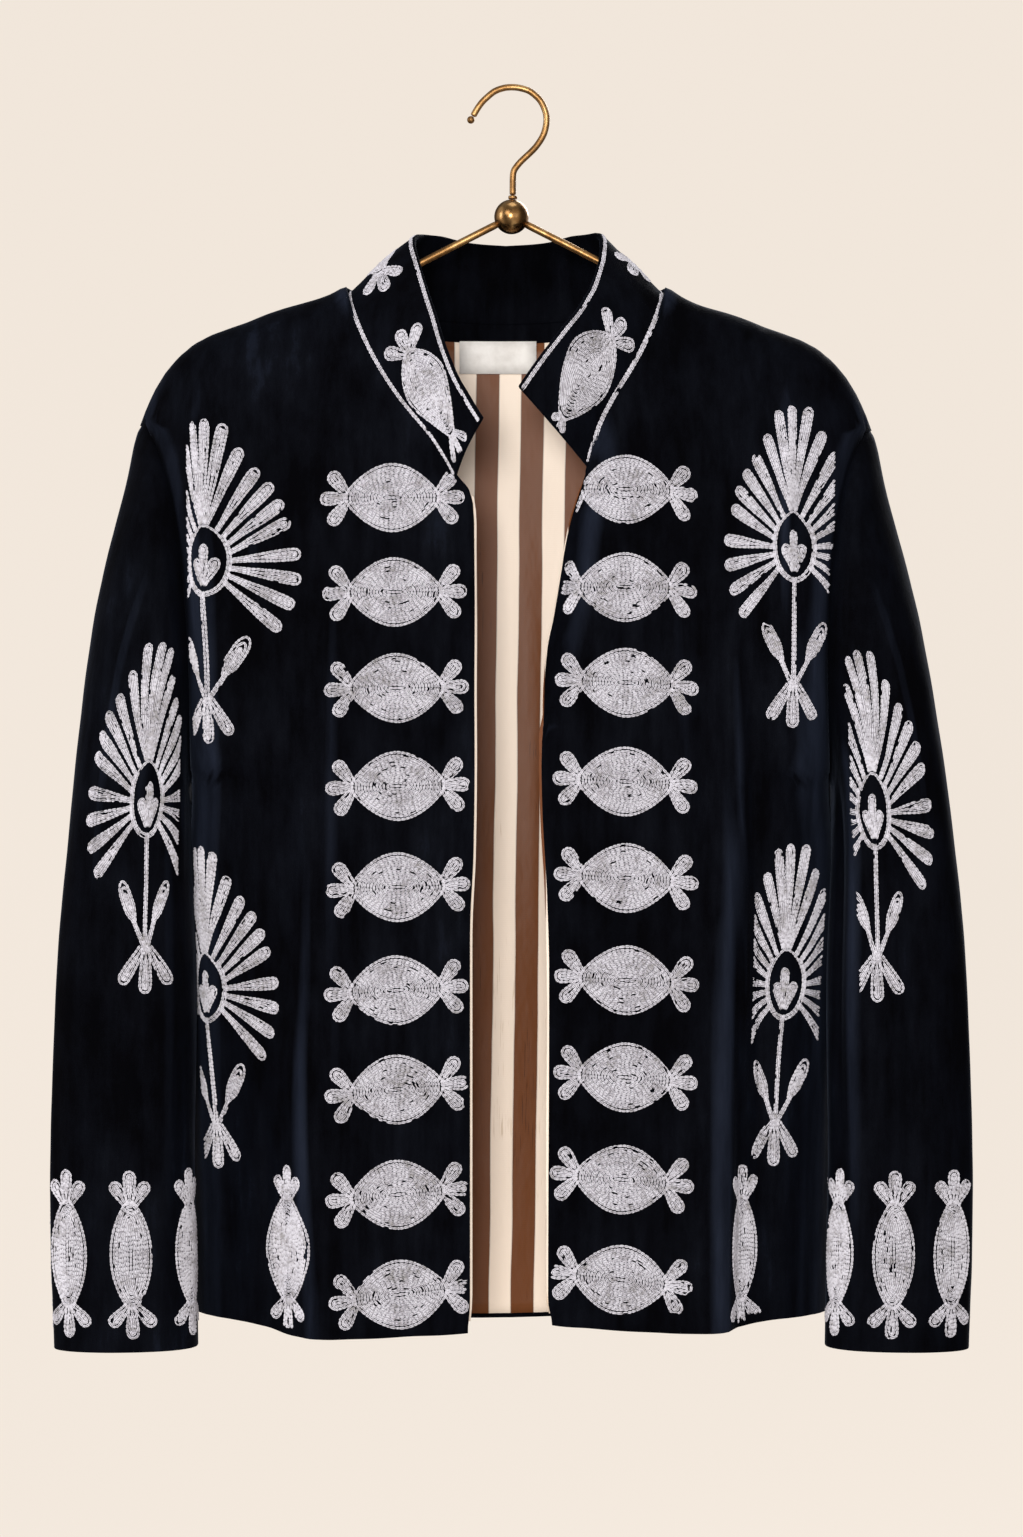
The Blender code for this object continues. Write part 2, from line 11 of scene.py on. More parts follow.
import bpy
import numpy as np
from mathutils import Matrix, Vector


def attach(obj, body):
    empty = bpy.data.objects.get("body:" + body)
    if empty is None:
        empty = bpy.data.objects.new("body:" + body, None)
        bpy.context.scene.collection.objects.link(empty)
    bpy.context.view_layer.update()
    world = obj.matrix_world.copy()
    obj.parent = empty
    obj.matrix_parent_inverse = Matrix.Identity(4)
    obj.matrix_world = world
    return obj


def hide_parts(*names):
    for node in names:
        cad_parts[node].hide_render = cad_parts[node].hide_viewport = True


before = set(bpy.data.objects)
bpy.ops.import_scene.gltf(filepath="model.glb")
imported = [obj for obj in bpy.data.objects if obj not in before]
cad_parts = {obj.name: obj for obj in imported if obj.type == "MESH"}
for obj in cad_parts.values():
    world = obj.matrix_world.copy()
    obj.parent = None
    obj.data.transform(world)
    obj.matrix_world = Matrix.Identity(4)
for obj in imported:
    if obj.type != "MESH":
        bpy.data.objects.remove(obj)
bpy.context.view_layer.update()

MM = 0.001
SIDES = {"right": -1, "left": 1}

# Walls and the clearances between them.
VELVET_WALL = 1.6
LINING_WALL = 1.0
COLLAR_WALL = 3.0
LABEL_WALL = 0.6
SEAM_GAP = 0.3
SHOULDER_SEAM_GAP = 0.6
SIDE_SEAM_GAP = 1.0
COLLAR_TIP_GAP = 1.4

# The body: how far it stands forward and back, and the round of the shoulder over the hanger.
FRONT_DEPTH = 50.0
BACK_DEPTH = 43.0
SHOULDER_ROUND = 14.0
CHEST_FILL = 90.0
NECK_ACROSS = 99.0
NECK_HEIGHT = -122.5
NECK_BULGE = 21.0
BULGE_FADE = 70.0

# Armhole, from the shoulder tip to the underarm.
TIP_ACROSS, TIP_HEIGHT = 226.0, -207.0
UNDERARM_ACROSS, UNDERARM_HEIGHT = 197.0, -425.0
ARMHOLE_FRONT, ARMHOLE_BACK = 34.0, 30.0
ARMHOLE_SCOOP = 42.0
ARMHOLE_ROUND = 0.8

# The hang is a little off the hanger's middle at the shoulders and true at the hem.
SWAY = 3.5
SWAY_FROM, SWAY_TO = -250.0, -500.0

# The shoulders sit a little low on the hanger, the left one more, fading out down the body.
DROOP = {"right": 1.2, "left": 4.2}
DROOP_FROM, DROOP_TO = 92.0, 125.0
DROOP_FADE_FROM, DROOP_FADE_TO = -260.0, -600.0

# Brass hanger.
HOOK_WIRE = 4.0
HOOK_BEAD = 4.7
FERRULE_ACROSS, FERRULE_TALL = 5.6, 2.0
BALL_ACROSS = 21.4
BALL_HEIGHT = -78.4
HOOK = {
    "x": (0.8, 0.9, 3.7, 10.9, 17.3, 21.0, 21.8, 20.0, 14.6, 7.6, 0, -7.6, -14.6, -20.0, -23.8),
    "z": (-65, -53, -46.6, -39.4, -32, -23.9, -17.5, -10.3, -3, 0.9, HOOK_WIRE / 2, 0.7, -3.9, -9.6, -16),
}
BEAD_WAY = (-0.52, -0.85)
ARM_WIRE = 4.6
ARM_DROP = 0.509
ARM_STRAIGHT = (30.0, 55.0, 78.0)
ARM_UNDER_SHOULDER = (98.0, 110.0, 122.0, 135.0, 150.0, 162.0, 173.0, 181.0)
ARM_SPARE = 0.3
ARM_DIP, ARM_DIP_WIDTH = 2.4, 12.0

# Height of the shoulder line against the distance across.
SHOULDER = {
    "across": (0, 60, 99, 108, 125, 145, 160, 175, 188, 198, 206, 213, 219, 223, 226),
    "height": (
        -112, -116, -122.5, -126.5, -131.5, -137.5, -143.5, -148.8,
        -154.5, -161.5, -169.5, -179, -190, -199, -207,
    ),
}

# The front neckline from the front edge up to the shoulder, and the back one.
NECKLINE = {
    "right": {
        "across": (30.5, 36, 45, 56, 67.5, 78, 88, 94, 97.5, 99),
        "height": (-243, -231, -217, -204.5, -190, -174, -155, -140, -129, -122.5),
    },
    "left": {
        "across": (50, 52, 54.5, 60, 68, 78, 88, 94, 97.5, 99),
        "height": (-237, -226, -216, -204.5, -190, -174, -155, -140, -129, -122.5),
    },
    "back": {
        "across": (0, 30, 60, 85, 99),
        "height": (-139, -138, -133.5, -127, -122.5),
    },
}

# The opening's edges: the right one falls straight, and the left one bows away from the neck.
FRONT_EDGE = {
    "right": {
        "height": (-243, -247.5, -253, -261, -279, -376, -473, -528, -740, -760),
        "across": (30.5, 24.7, 21.7, 19.9, 19.3, 20.8, 23, 25.2, 25.2, 26.4),
    },
    "left": {
        "height": (-237, -243, -258, -273, -303, -331, -349, -388, -431, -498, -558, -740, -756),
        "across": (50, 48, 43.3, 39, 33.4, 28.2, 24.3, 21.2, 19, 21.6, 22.8, 22.2, 24.6),
    },
}

# Side seam below the underarm.
SIDE_SEAM = {
    "height": (-425, -432, -445, -470, -500, -530, -600, -720, -765),
    "across": (197, 197, 197.6, 199.6, 200.1, 199.2, 198.8, 197, 196),
    "depth": (0, 1, 3, 4.5, 5.5, 6, 7, 8, 8),
}

HEM = {
    "right": {
        "across": (19, 28, 60, 100, 130, 150, 170, 193, 207),
        "height": (-759.5, -763, -764.5, -766, -765.5, -761.5, -759, -757, -756),
    },
    "left": {
        "across": (19, 28, 45, 82, 110, 138, 151, 171, 192, 207),
        "height": (-756, -758.5, -759.6, -762, -762.6, -760.5, -758.5, -757, -756.5, -756),
    },
    "back": {"across": (0, 80, 140, 180, 207), "height": (-767, -766, -763, -758, -756)},
}

# How much of the full depth is left on the way from the middle (share 0) to the side (share 1).
TURN = {
    "share": (0, 0.30, 0.50, 0.60, 0.66, 0.70, 0.78, 0.88, 0.94, 0.98, 1),
    "chest": (0.97, 1, 1, 1, 1, 0.99, 0.97, 0.90, 0.77, 0.50, 0),
    "hem_right": (0.96, 1, 1.02, 0.98, 0.88, 0.79, 0.64, 0.44, 0.31, 0.17, 0),
    "hem_left": (0.96, 1, 1.01, 1.04, 1.02, 0.76, 0.68, 0.52, 0.38, 0.20, 0),
    "back": (1, 1, 0.98, 0.94, 0.90, 0.87, 0.79, 0.64, 0.48, 0.28, 0),
}
TURN_FROM, TURN_TO = -300.0, -690.0

# Soft vertical folds: place across at their top and bottom, heights there, how far they lift, and half width.
FOLDS = {
    "right": {
        "across_top": (108, 176, 150),
        "height_top": (-300, -170, -520),
        "across_bottom": (112, 184, 118),
        "height_bottom": (-740, -330, -750),
        "lift": (2.0, 2.5, 3.0),
        "half_width": (14, 10, 14),
    },
    "left": {
        "across_top": (95, 168, 140),
        "height_top": (-260, -175, -380),
        "across_bottom": (104, 172, 134),
        "height_bottom": (-740, -330, -765),
        "lift": (1.8, 2.5, 3.5),
        "half_width": (16, 12, 13),
    },
    "back": {
        "across_top": (-150, -92, -30, 38, 100, 156),
        "height_top": (-260, -330, -300, -360, -310, -250),
        "across_bottom": (-166, -100, -34, 48, 112, 170),
        "height_bottom": (-790, -790, -790, -790, -790, -790),
        "lift": (6.0, 7.0, -5.0, 6.5, -4.5, 6.0),
        "half_width": (22, 24, 26, 25, 24, 22),
    },
}

# Sleeve rings from the armhole to the cuff: the outer and inner point, the middle's depth and the half
# depths.
SLEEVE = {
    "outer": (
        226, 229, 233.5, 241, 249.5, 257, 263, 268, 272, 275.4,
        277.8, 279.5, 281, 282.2, 282.8, 282.8, 282.2, 281.5, 281.2,
    ),
    "outer_height": (
        -207, -217, -240, -270, -305, -345, -388, -430, -470, -505,
        -540, -578, -615, -650, -685, -715, -742, -764, -774,
    ),
    "inner": (
        197, 199.9, 200.9, 201.2, 201.2, 200.9, 200.5, 199.8, 198.8, 197.6,
        196.4, 195.6, 195, 194.2, 192.8, 191.6, 190.8, 190.2, 190,
    ),
    "inner_height": (
        -425, -430, -435, -441, -448, -457, -468, -482, -502, -525,
        -552, -583, -617, -651, -685, -715, -742, -762, -773,
    ),
    "middle": (0, -2, -4, -6, -8, -10, -12, -14, -16, -18.5, -21, -23, -25, -26.5, -28, -29, -29.5, -30, -30),
    "front": (34, 39, 43, 44, 43, 41, 39.5, 38, 36, 34.5, 33, 31.5, 30, 29, 28, 27.5, 27, 27, 27),
    "back": (30, 33, 35, 35, 34, 33, 32, 31, 30, 29.5, 29, 28.5, 28, 27, 26, 25.5, 25, 25, 25),
    "scoop": (42, 36, 28, 20, 13, 8, 4, 1, 0, 0, 0, 0, 0, 0, 0, 0, 0, 0, 0),
}

# Long folds down a sleeve: where round the ring (degrees from the outer side over the front), how far they
# lift, their half width in degrees, and where along the sleeve they are strongest.
SLEEVE_FOLDS = {
    "around": (38, 78, 128, 225, 285, 325),
    "lift": (2.0, -2.6, 3.0, 3.0, -3.0, 2.2),
    "half_width": (15, 16, 15, 20, 20, 18),
    "peak": (0.35, 0.5, 0.6, 0.45, 0.6, 0.4),
    "reach": (0.30, 0.34, 0.36, 0.35, 0.4, 0.3),
}

# The collar's upper edge, from the front tip to the middle of the back.
COLLAR_TOP = {
    "share": (0, 0.085, 0.18, 0.31, 0.41, 0.49, 0.573, 0.64, 0.74, 0.87, 1),
    "right": {
        "across": (13.5, 22.7, 32.4, 41.9, 48.4, 52.6, 56.0, 53.5, 42.0, 22.6, 0),
        "depth": (-72, -65, -55, -37, -22, -10, 2, 13, 26, 35, 38),
        "height": (-210, -194.3, -174.2, -144.5, -124, -109, -94.3, -88, -86.5, -89.6, -91),
    },
    "left": {
        "across": (7.4, 19.5, 33.0, 47.5, 54.0, 57.5, 58.5, 54.0, 43.0, 24.0, 0),
        "depth": (-56, -54, -49, -34, -20, -8, 4, 14, 25, 34, 38),
        "height": (-189.5, -172, -154, -133, -118, -104, -92, -86.8, -86.5, -89.8, -91),
    },
}
COLLAR_ROLL = 2.5

# The lining ends this much higher than the velvet, and hangs this far inside it.
LINING_HEM_LIFT = 3.0
LINING_GAP = 0.5

# The label inside the back neck: its size, its middle (x and height) and its clearance over the lining.
LABEL_SIZE = (49.0, 20.5)
LABEL_MIDDLE = (-8.6, -161.5)
LABEL_GAP = 0.9

# The height at which the hem's width is taken, and the velvet's row for the width of a front.
HEM_LEVEL = -760.0
WIDTH_ROW = 60
# How far the linings stay inside the side seams: in millimetres in front, and in columns behind.
LINING_SIDE, LINING_SIDE_COLUMNS = 12, 4


def curve_through(given, wanted):
    """A smooth curve through the points that never swings past them, as a function of `given`."""
    x, y = np.asarray(given, float), np.asarray(wanted, float)
    if x[0] > x[-1]:
        x, y = x[::-1], y[::-1]
    step = np.diff(x)
    slope = np.diff(y) / step
    tangent = np.concatenate([slope[:1], np.zeros(len(x) - 2), slope[-1:]])
    same_way = slope[:-1] * slope[1:] > 0
    both = np.where(same_way, slope[:-1] + slope[1:], 1)
    tangent[1:-1] = np.where(same_way, 2 * slope[:-1] * slope[1:] / both, 0)

    def at(value):
        value = np.clip(value, x[0], x[-1])
        k = np.clip(np.searchsorted(x, value) - 1, 0, len(step) - 1)
        t = (value - x[k]) / step[k]
        start = y[k] + step[k] * tangent[k] * t
        end = y[k + 1] - step[k] * tangent[k + 1] * (1 - t)
        return start + (end - start) * t * t * (3 - 2 * t)

    return at


def curve(table, given, wanted):
    return curve_through(table[given], table[wanted])


def ease(value, start, end):
    """0 before start and 1 after end, with a soft change between."""
    t = np.clip((value - start) / (end - start), 0, 1)
    return t * t * (3 - 2 * t)


shoulder_height = curve(SHOULDER, "across", "height")
side_across = curve(SIDE_SEAM, "height", "across")
side_depth = curve(SIDE_SEAM, "height", "depth")


def sway(height):
    return SWAY * (1 - ease(-height, -SWAY_FROM, -SWAY_TO))


def armhole(height):
    """Across, and the depth in front and behind as positive numbers, at a height on the armhole."""
    t = np.clip((TIP_HEIGHT - height) / (TIP_HEIGHT - UNDERARM_HEIGHT), 0, 1)
    across = TIP_ACROSS + (UNDERARM_ACROSS - TIP_ACROSS) * t - ARMHOLE_SCOOP * np.sqrt(t) * (1 - t)
    bow = (2 * np.sqrt(t * (1 - t))) ** ARMHOLE_ROUND
    return across, ARMHOLE_FRONT * bow, ARMHOLE_BACK * bow


def outer_edge(height):
    """Across of a body panel's outer edge: the armhole above the underarm and the side seam below."""
    return np.where(height > UNDERARM_HEIGHT, armhole(height)[0], side_across(height))


def full_depth(across, height, depth):
    """How far the cloth stands off the hanger's plane, growing below the rounded shoulder line."""
    below = np.maximum(shoulder_height(across) - height, 0)
    rounded = np.sqrt(1 - (1 - np.clip(below / SHOULDER_ROUND, 0, 1)) ** 2)
    return SHOULDER_ROUND * rounded + (depth - SHOULDER_ROUND) * (1 - np.exp(-below / CHEST_FILL))


def fold_lift(table, across, height, sharp=False):
    """The sum of the folds at a place: soft ones, which start at their top, or sharp creases, which fade out
    at both ends."""
    total = np.zeros(np.broadcast(across, height).shape)
    for top, high, bottom, low, lift, half in zip(*table.values()):
        along = np.clip((high - height) / (high - low), 0, 1)
        middle = top + (bottom - top) * along
        if sharp:
            lift = CREASE_LIFT * lift * np.sin(math.pi * along) ** 0.8
        else:
            lift = lift * ease(along, 0, 0.45)
        total += lift * np.exp(-(((across - middle) / half) ** 2))
    return total


def seam_room(share):
    """Half the clearance between front and back, wider where the walls meet at the side seam."""
    return (SHOULDER_SEAM_GAP + (SIDE_SEAM_GAP - SHOULDER_SEAM_GAP) * ease(share, 0.95, 1)) / 2


def front_surface(side, across, height):
    """Depth (negative, towards the viewer) of a front's cloth."""
    share = np.clip(across / outer_edge(height), 0, 1)
    chest = curve(TURN, "share", "chest")(share)
    hem = curve(TURN, "share", "hem_" + side)(share)
    low = ease(-height, -TURN_FROM, -TURN_TO)
    turn = chest + (hem - chest) * low
    edge = np.where(height > UNDERARM_HEIGHT, -armhole(height)[1], side_depth(height))
    full = full_depth(across, height, FRONT_DEPTH)
    folds = fold_lift(FOLDS[side], across, height) * (1 - ease(share, 0.9, 1))
    return edge - (full + edge) * turn - folds - seam_room(share)


def back_surface(x, height):
    """Depth (positive) of the back's cloth, pushed out at the neck by the collar."""
    across = np.abs(x)
    share = np.clip(across / outer_edge(height), 0, 1)
    turn = curve(TURN, "share", "back")(share)
    chest = 1 - share**8
    turn = turn + (np.maximum(turn, chest) - turn) * (1 - ease(-height, -TURN_FROM, -TURN_TO))
    edge = np.where(height > UNDERARM_HEIGHT, armhole(height)[2], side_depth(height))
    full = full_depth(across, height, BACK_DEPTH)
    neck = curve(NECKLINE["back"], "across", "height")(across)
    bulge = NECK_BULGE * np.clip(1 - (across / NECK_ACROSS) ** 2, 0, 1)
    bulge = bulge * np.exp(-np.maximum(neck - height, 0) / BULGE_FADE)
    folds = fold_lift(FOLDS["back"], x, height) * (1 - ease(share, 0.9, 1))
    return edge + (full - edge) * turn + bulge + folds + seam_room(share)


def label_grid():
    """The label's points, on the back lining just under its top edge."""
    across = np.linspace(-0.5, 0.5, 7) * LABEL_SIZE[0] + LABEL_MIDDLE[0]
    down = np.linspace(0.5, -0.5, 4) * LABEL_SIZE[1] + LABEL_MIDDLE[1]
    x, z = np.meshgrid(across, down)
    grid = np.stack([x, back_surface(x + sway(z), z), z], axis=-1)
    inwards = VELVET_WALL / 2 + LINING_GAP + LINING_WALL + LABEL_GAP + LABEL_WALL / 2
    return grid - normals(grid) * inwards


def droop(x, height):
    """How far the cloth hangs below its even place, at x before the sway."""
    amount = np.where(np.asarray(x) < 0, DROOP["right"], DROOP["left"])
    fade = 1 - ease(-height, -DROOP_FADE_FROM, -DROOP_FADE_TO)
    return amount * ease(np.abs(x), DROOP_FROM, DROOP_TO) * fade


def hung(points):
    """Points moved from their even places to where the hanging jacket has them."""
    x, height = points[..., 0].copy(), points[..., 2].copy()
    points[..., 0] = x - sway(height)
    points[..., 2] = height - droop(x, height)
    return points


def normals(grid):
    """Unit normals of a grid of points, towards the viewer for a front and away for the back."""
    n = np.cross(np.gradient(grid, axis=1), np.gradient(grid, axis=0))
    return n / np.linalg.norm(n, axis=-1, keepdims=True)


# Fine cloth

FINE_COLUMN, FINE_ROW = 3.2, 5.0
BACK_COLUMN, BACK_ROW = 4.5, 7.0
TOP_ROWS = (0, 0.0004, 0.0012, 0.0026, 0.005, 0.008, 0.012)
HEM_DROP = 640.0
LINING_PEEP = 1.5

# The left front's top edge rolls back away from the viewer.
CURL_BACK, CURL_WIDTH = 13.0, 9.0
CURL_FROM, CURL_TO = -225.0, -395.0


def spread(first, last, step):
    """Even shares from first to last, about a step apart over their length."""
    return np.linspace(0, 1, max(2, int(round(abs(last - first) / step)) + 1))


def fine_columns(side):
    """Shares of a front's width, with one on the neck point."""
    first = NECKLINE[side]["across"][0]
    split = (NECK_ACROSS - first) / (TIP_ACROSS - first)
    neck = spread(first, NECK_ACROSS, FINE_COLUMN) * split
    shoulder = split + spread(NECK_ACROSS, TIP_ACROSS, FINE_COLUMN)[1:] * (1 - split)
    return np.concatenate([neck, shoulder])


def fine_rows(step):
    rest = spread(0, HEM_DROP, step)
    return np.concatenate([TOP_ROWS, rest[rest > 0.015]])


# Sharper, shorter folds than the walls have.
CREASE_LIFT = 1.5
CREASES = {
    "right": {
        "across_top": (189, 176, 158, 104, 122, 132, 90, 150, 60),
        "height_top": (-170, -205, -230, -255, -440, -560, -380, -600, -300),
        "across_bottom": (191, 170, 150, 112, 134, 121, 96, 143, 52),
        "height_bottom": (-350, -330, -345, -560, -770, -790, -640, -790, -520),
        "lift": (1.8, -1.4, 1.1, 1.0, 1.6, 1.8, -0.9, -1.6, 0.7),
        "half_width": (3.5, 5, 6, 5, 5.5, 4.5, 6, 6, 8),
    },
    "left": {
        "across_top": (172, 183, 160, 139, 146, 100, 120, 58, 86),
        "height_top": (-165, -185, -215, -330, -330, -250, -480, -300, -540),
        "across_bottom": (168, 176, 150, 143, 151, 112, 128, 52, 92),
        "height_bottom": (-330, -340, -360, -720, -700, -520, -790, -560, -790),
        "lift": (1.8, -1.3, 1.0, 2.4, -2.2, 0.9, 1.2, 0.6, -0.8),
        "half_width": (4, 5, 6, 4.5, 4.5, 6, 7, 8, 7),
    },
    "back": {
        "across_top": (-186, -172, -120, -60, 10, 62, 128, 168, 184, -20),
        "height_top": (-180, -215, -300, -430, -250, -380, -300, -200, -175, -560),
        "across_bottom": (-188, -160, -132, -68, 18, 72, 140, 158, 188, -30),
        "height_bottom": (-360, -420, -640, -790, -560, -790, -650, -420, -350, -790),
        "lift": (2.0, -1.6, 1.6, 2.2, -1.2, 2.0, 1.6, -1.5, 2.0, 1.4),
        "half_width": (4, 6, 7, 7, 9, 7, 7, 6, 4, 8),
    },
}


def fine_front_depth(side, across, height):
    depth = front_surface(side, across, height)
    share = np.clip(across / outer_edge(height), 0, 1)
    depth = depth - fold_lift(CREASES[side], across, height, True) * (1 - ease(share, 0.965, 1))
    if side == "left":
        edge = curve(FRONT_EDGE[side], "height", "across")
        along = np.clip((CURL_FROM - height) / (CURL_FROM - CURL_TO), 0, 1)
        near = np.exp(-(((across - edge(height)) / CURL_WIDTH) ** 2))
        depth = depth + CURL_BACK * np.sin(math.pi * along) ** 0.7 * near
    return depth


def fine_back_depth(x, height):
    share = np.clip(np.abs(x) / outer_edge(height), 0, 1)
    neck = 1 - np.exp(-np.maximum(-140 - height, 0) / 60)
    creases = fold_lift(CREASES["back"], x, height, True)
    return back_surface(x, height) + creases * (1 - ease(share, 0.965, 1)) * neck


def fine_front(side):
    """A front's middle layer: rows from neckline and shoulder to hem, columns from the opening outwards."""
    edge = curve(FRONT_EDGE[side], "height", "across")
    neck = curve(NECKLINE[side], "across", "height")
    hem = curve(HEM[side], "across", "height")
    column = fine_columns(side)
    first = NECKLINE[side]["across"][0]
    top_across = first + (TIP_ACROSS - first) * column
    top = np.where(top_across <= NECK_ACROSS + 0.001, neck(top_across), shoulder_height(top_across))
    low_across = edge(HEM[side]["height"][0]) + (side_across(HEM_LEVEL) - edge(HEM_LEVEL)) * column
    height = top + (hem(low_across) - top) * fine_rows(FINE_ROW)[:, None]
    inner = edge(height)
    across = inner + (outer_edge(height) - inner) * column
    across[0] = top_across
    return hung(np.stack([SIDES[side] * across, fine_front_depth(side, across, height), height], axis=-1))


def fine_back():
    """The back's middle layer: rows from neckline and shoulders to hem, columns from right to left."""
    split = NECK_ACROSS / TIP_ACROSS
    outer = spread(NECK_ACROSS, TIP_ACROSS, BACK_COLUMN)[1:]
    half = np.concatenate([spread(0, NECK_ACROSS, BACK_COLUMN) * split, split + outer * (1 - split)])
    column = np.concatenate([-half[:0:-1], half])
    neck = curve(NECKLINE["back"], "across", "height")
    hem = curve(HEM["back"], "across", "height")
    top_x = TIP_ACROSS * column
    top = np.where(np.abs(top_x) <= NECK_ACROSS + 0.001, neck(np.abs(top_x)), shoulder_height(np.abs(top_x)))
    low = hem(np.abs(column) * side_across(HEM_LEVEL))
    height = top + (low - top) * fine_rows(BACK_ROW)[:, None]
    x = outer_edge(height) * column
    x[0] = top_x
    return hung(np.stack([x, fine_back_depth(x, height), height], axis=-1))


# Fine sleeve folds: degrees round from the outer side over the front, lift, half width, peak and reach.
SLEEVE_CREASES = {
    "right": {
        "around": (62, 96, 118, 150, 22, 78, 104, 200, 250, 300, 340),
        "lift": (1.6, 1.5, -1.2, 1.6, 1.0, 1.1, 0.9, 1.8, -1.5, 1.6, 1.4),
        "half_width": (5, 9, 7, 6, 8, 9, 8, 10, 12, 10, 9),
        "peak": (0.28, 0.2, 0.3, 0.22, 0.75, 0.78, 0.72, 0.35, 0.5, 0.62, 0.3),
        "reach": (0.22, 0.16, 0.2, 0.16, 0.2, 0.22, 0.2, 0.25, 0.3, 0.25, 0.2),
    },
    "left": {
        "around": (58, 92, 128, 152, 24, 72, 110, 205, 245, 296, 335),
        "lift": (1.2, 1.4, 2.6, -2.2, 1.0, 1.2, 1.0, 1.7, -1.6, 1.5, 1.5),
        "half_width": (6, 8, 9, 8, 9, 9, 8, 10, 12, 11, 9),
        "peak": (0.25, 0.22, 0.42, 0.4, 0.72, 0.78, 0.7, 0.4, 0.45, 0.6, 0.35),
        "reach": (0.2, 0.16, 0.34, 0.32, 0.2, 0.22, 0.2, 0.25, 0.3, 0.25, 0.2),
    },
}
FINE_AROUND = 96
SLEEVE_OVERLAP = 40
# The sleeve hangs this much over the side seam.
SLEEVE_TUCK = 2.6
FINE_RINGS = 104
# Its top is set this far into the armhole, and its cuff is this much narrower at each side.
FINE_SEAM_TUCK = 0.8
CUFF_NARROW = 2.5
SLEEVE_CREASE_LIFT = 1.4


def fine_sleeve(side, rings=FINE_RINGS):
    """A sleeve's middle layer: rings from armhole to cuff, each from the outer side over the front."""
    station = np.linspace(0, 1, len(SLEEVE["outer"]))
    along = np.linspace(0, 1, rings)
    ring = {name: curve_through(station, values)(along)[:, None] for name, values in SLEEVE.items()}
    ring["inner"] = ring["inner"] - SLEEVE_TUCK * np.sin(math.pi * np.clip(along / 0.75, 0, 1))[:, None]
    narrow = CUFF_NARROW * ease(along, 0.55, 0.95)[:, None]
    ring["outer"], ring["inner"] = ring["outer"] - narrow, ring["inner"] + narrow
    around = 2 * math.pi * np.arange(FINE_AROUND) / FINE_AROUND
    t = ((1 - np.cos(around)) / 2)[None, :]
    bow = (2 * np.sqrt(t * (1 - t))) ** ARMHOLE_ROUND
    across = ring["outer"] + (ring["inner"] - ring["outer"]) * t - ring["scoop"] * np.sqrt(t) * (1 - t)
    height = ring["outer_height"] + (ring["inner_height"] - ring["outer_height"]) * t
    depth = ring["middle"] + np.where(np.sin(around)[None, :] > 0, -ring["front"], ring["back"]) * bow
    along = along[:, None]
    lift = np.zeros_like(depth)
    for table in (SLEEVE_FOLDS, SLEEVE_CREASES[side]):
        for place, rise, half, peak, reach in zip(*table.values()):
            apart = (np.degrees(around)[None, :] - place + 180) % 360 - 180
            rise = rise * (SLEEVE_CREASE_LIFT if table is SLEEVE_CREASES[side] else 1)
            lift += rise * np.exp(-((apart / half) ** 2)) * np.exp(-(((along - peak) / reach) ** 2))
    centre_across = (ring["outer"] + ring["inner"]) / 2
    fade = ease(along, 0.04, 0.2) * (1 - 0.6 * ease(along, 0.9, 1))
    away = np.hypot(across - centre_across, depth - ring["middle"])
    across = across + lift * fade * (across - centre_across) / away
    depth = depth + lift * fade * (depth - ring["middle"]) / away
    sewn_in = 1 - ease(along, 0, 0.03)
    across = across - FINE_SEAM_TUCK * sewn_in
    depth = depth + (ring["middle"] - depth) * 0.035 * sewn_in
    return hung(np.stack([SIDES[side] * across, depth, height], axis=-1))


FINE_COLLAR_ROWS = 15
COLLAR_FINE_GAP = -1.8


def fine_collar(fronts, back):
    """Rows from the neckline seam up to the edge, columns from the right tip round to the left tip."""
    shown = [k for k, x in enumerate(back[0, :, 0]) if abs(x + sway(NECK_HEIGHT)) < NECK_ACROSS - 1]
    middle = len(shown) // 2
    halves = []
    rows = np.linspace(0, 1, FINE_COLLAR_ROWS)[:, None, None]
    for side, half in (("right", shown[: middle + 1]), ("left", shown[: middle - 1: -1])):
        count = len(spread(NECKLINE[side]["across"][0], NECK_ACROSS, FINE_COLUMN))
        base = np.concatenate([fronts[side][0, :count], back[0, half]])
        base = smoothed(base, 2)
        share = np.concatenate([[0], np.cumsum(np.linalg.norm(np.diff(base, axis=0), axis=1))])
        share = share / share[-1]
        table = COLLAR_TOP[side]
        top = (curve_through(COLLAR_TOP["share"], values)(share) for values in table.values())
        across, depth, height = top
        edge = hung(np.stack([SIDES[side] * across, depth, height], axis=-1))
        rise = edge - base
        length = np.linalg.norm(rise, axis=1, keepdims=True)
        out = np.cross(np.gradient(base, axis=0), rise) * SIDES[side]
        out = smoothed(out / np.linalg.norm(out, axis=1, keepdims=True), 6)
        foot = (COLLAR_FINE_GAP + COLLAR_TIP_GAP * ease(-share[:, None], -0.08, 0)) / length
        up = foot + (1 - foot) * rows
        halves.append(base + rise * up + out * COLLAR_ROLL * np.sin(math.pi * rows))
    return np.concatenate([halves[0], halves[1][:, -2::-1]], axis=1)


def smoothed(line, times):
    """A line of points with its small kinks eased out and its ends kept."""
    line = line.copy()
    for _ in range(times):
        line[1:-1] = (line[:-2] + 2 * line[1:-1] + line[2:]) / 4
    return line


# Cloth meshes

# A crest this tall is a full one, against cloth evened out so many times, and against its own slow bend.
RIDGE_TALL, RIDGE_REACH, BEND_REACH = 2.0, 16, 60


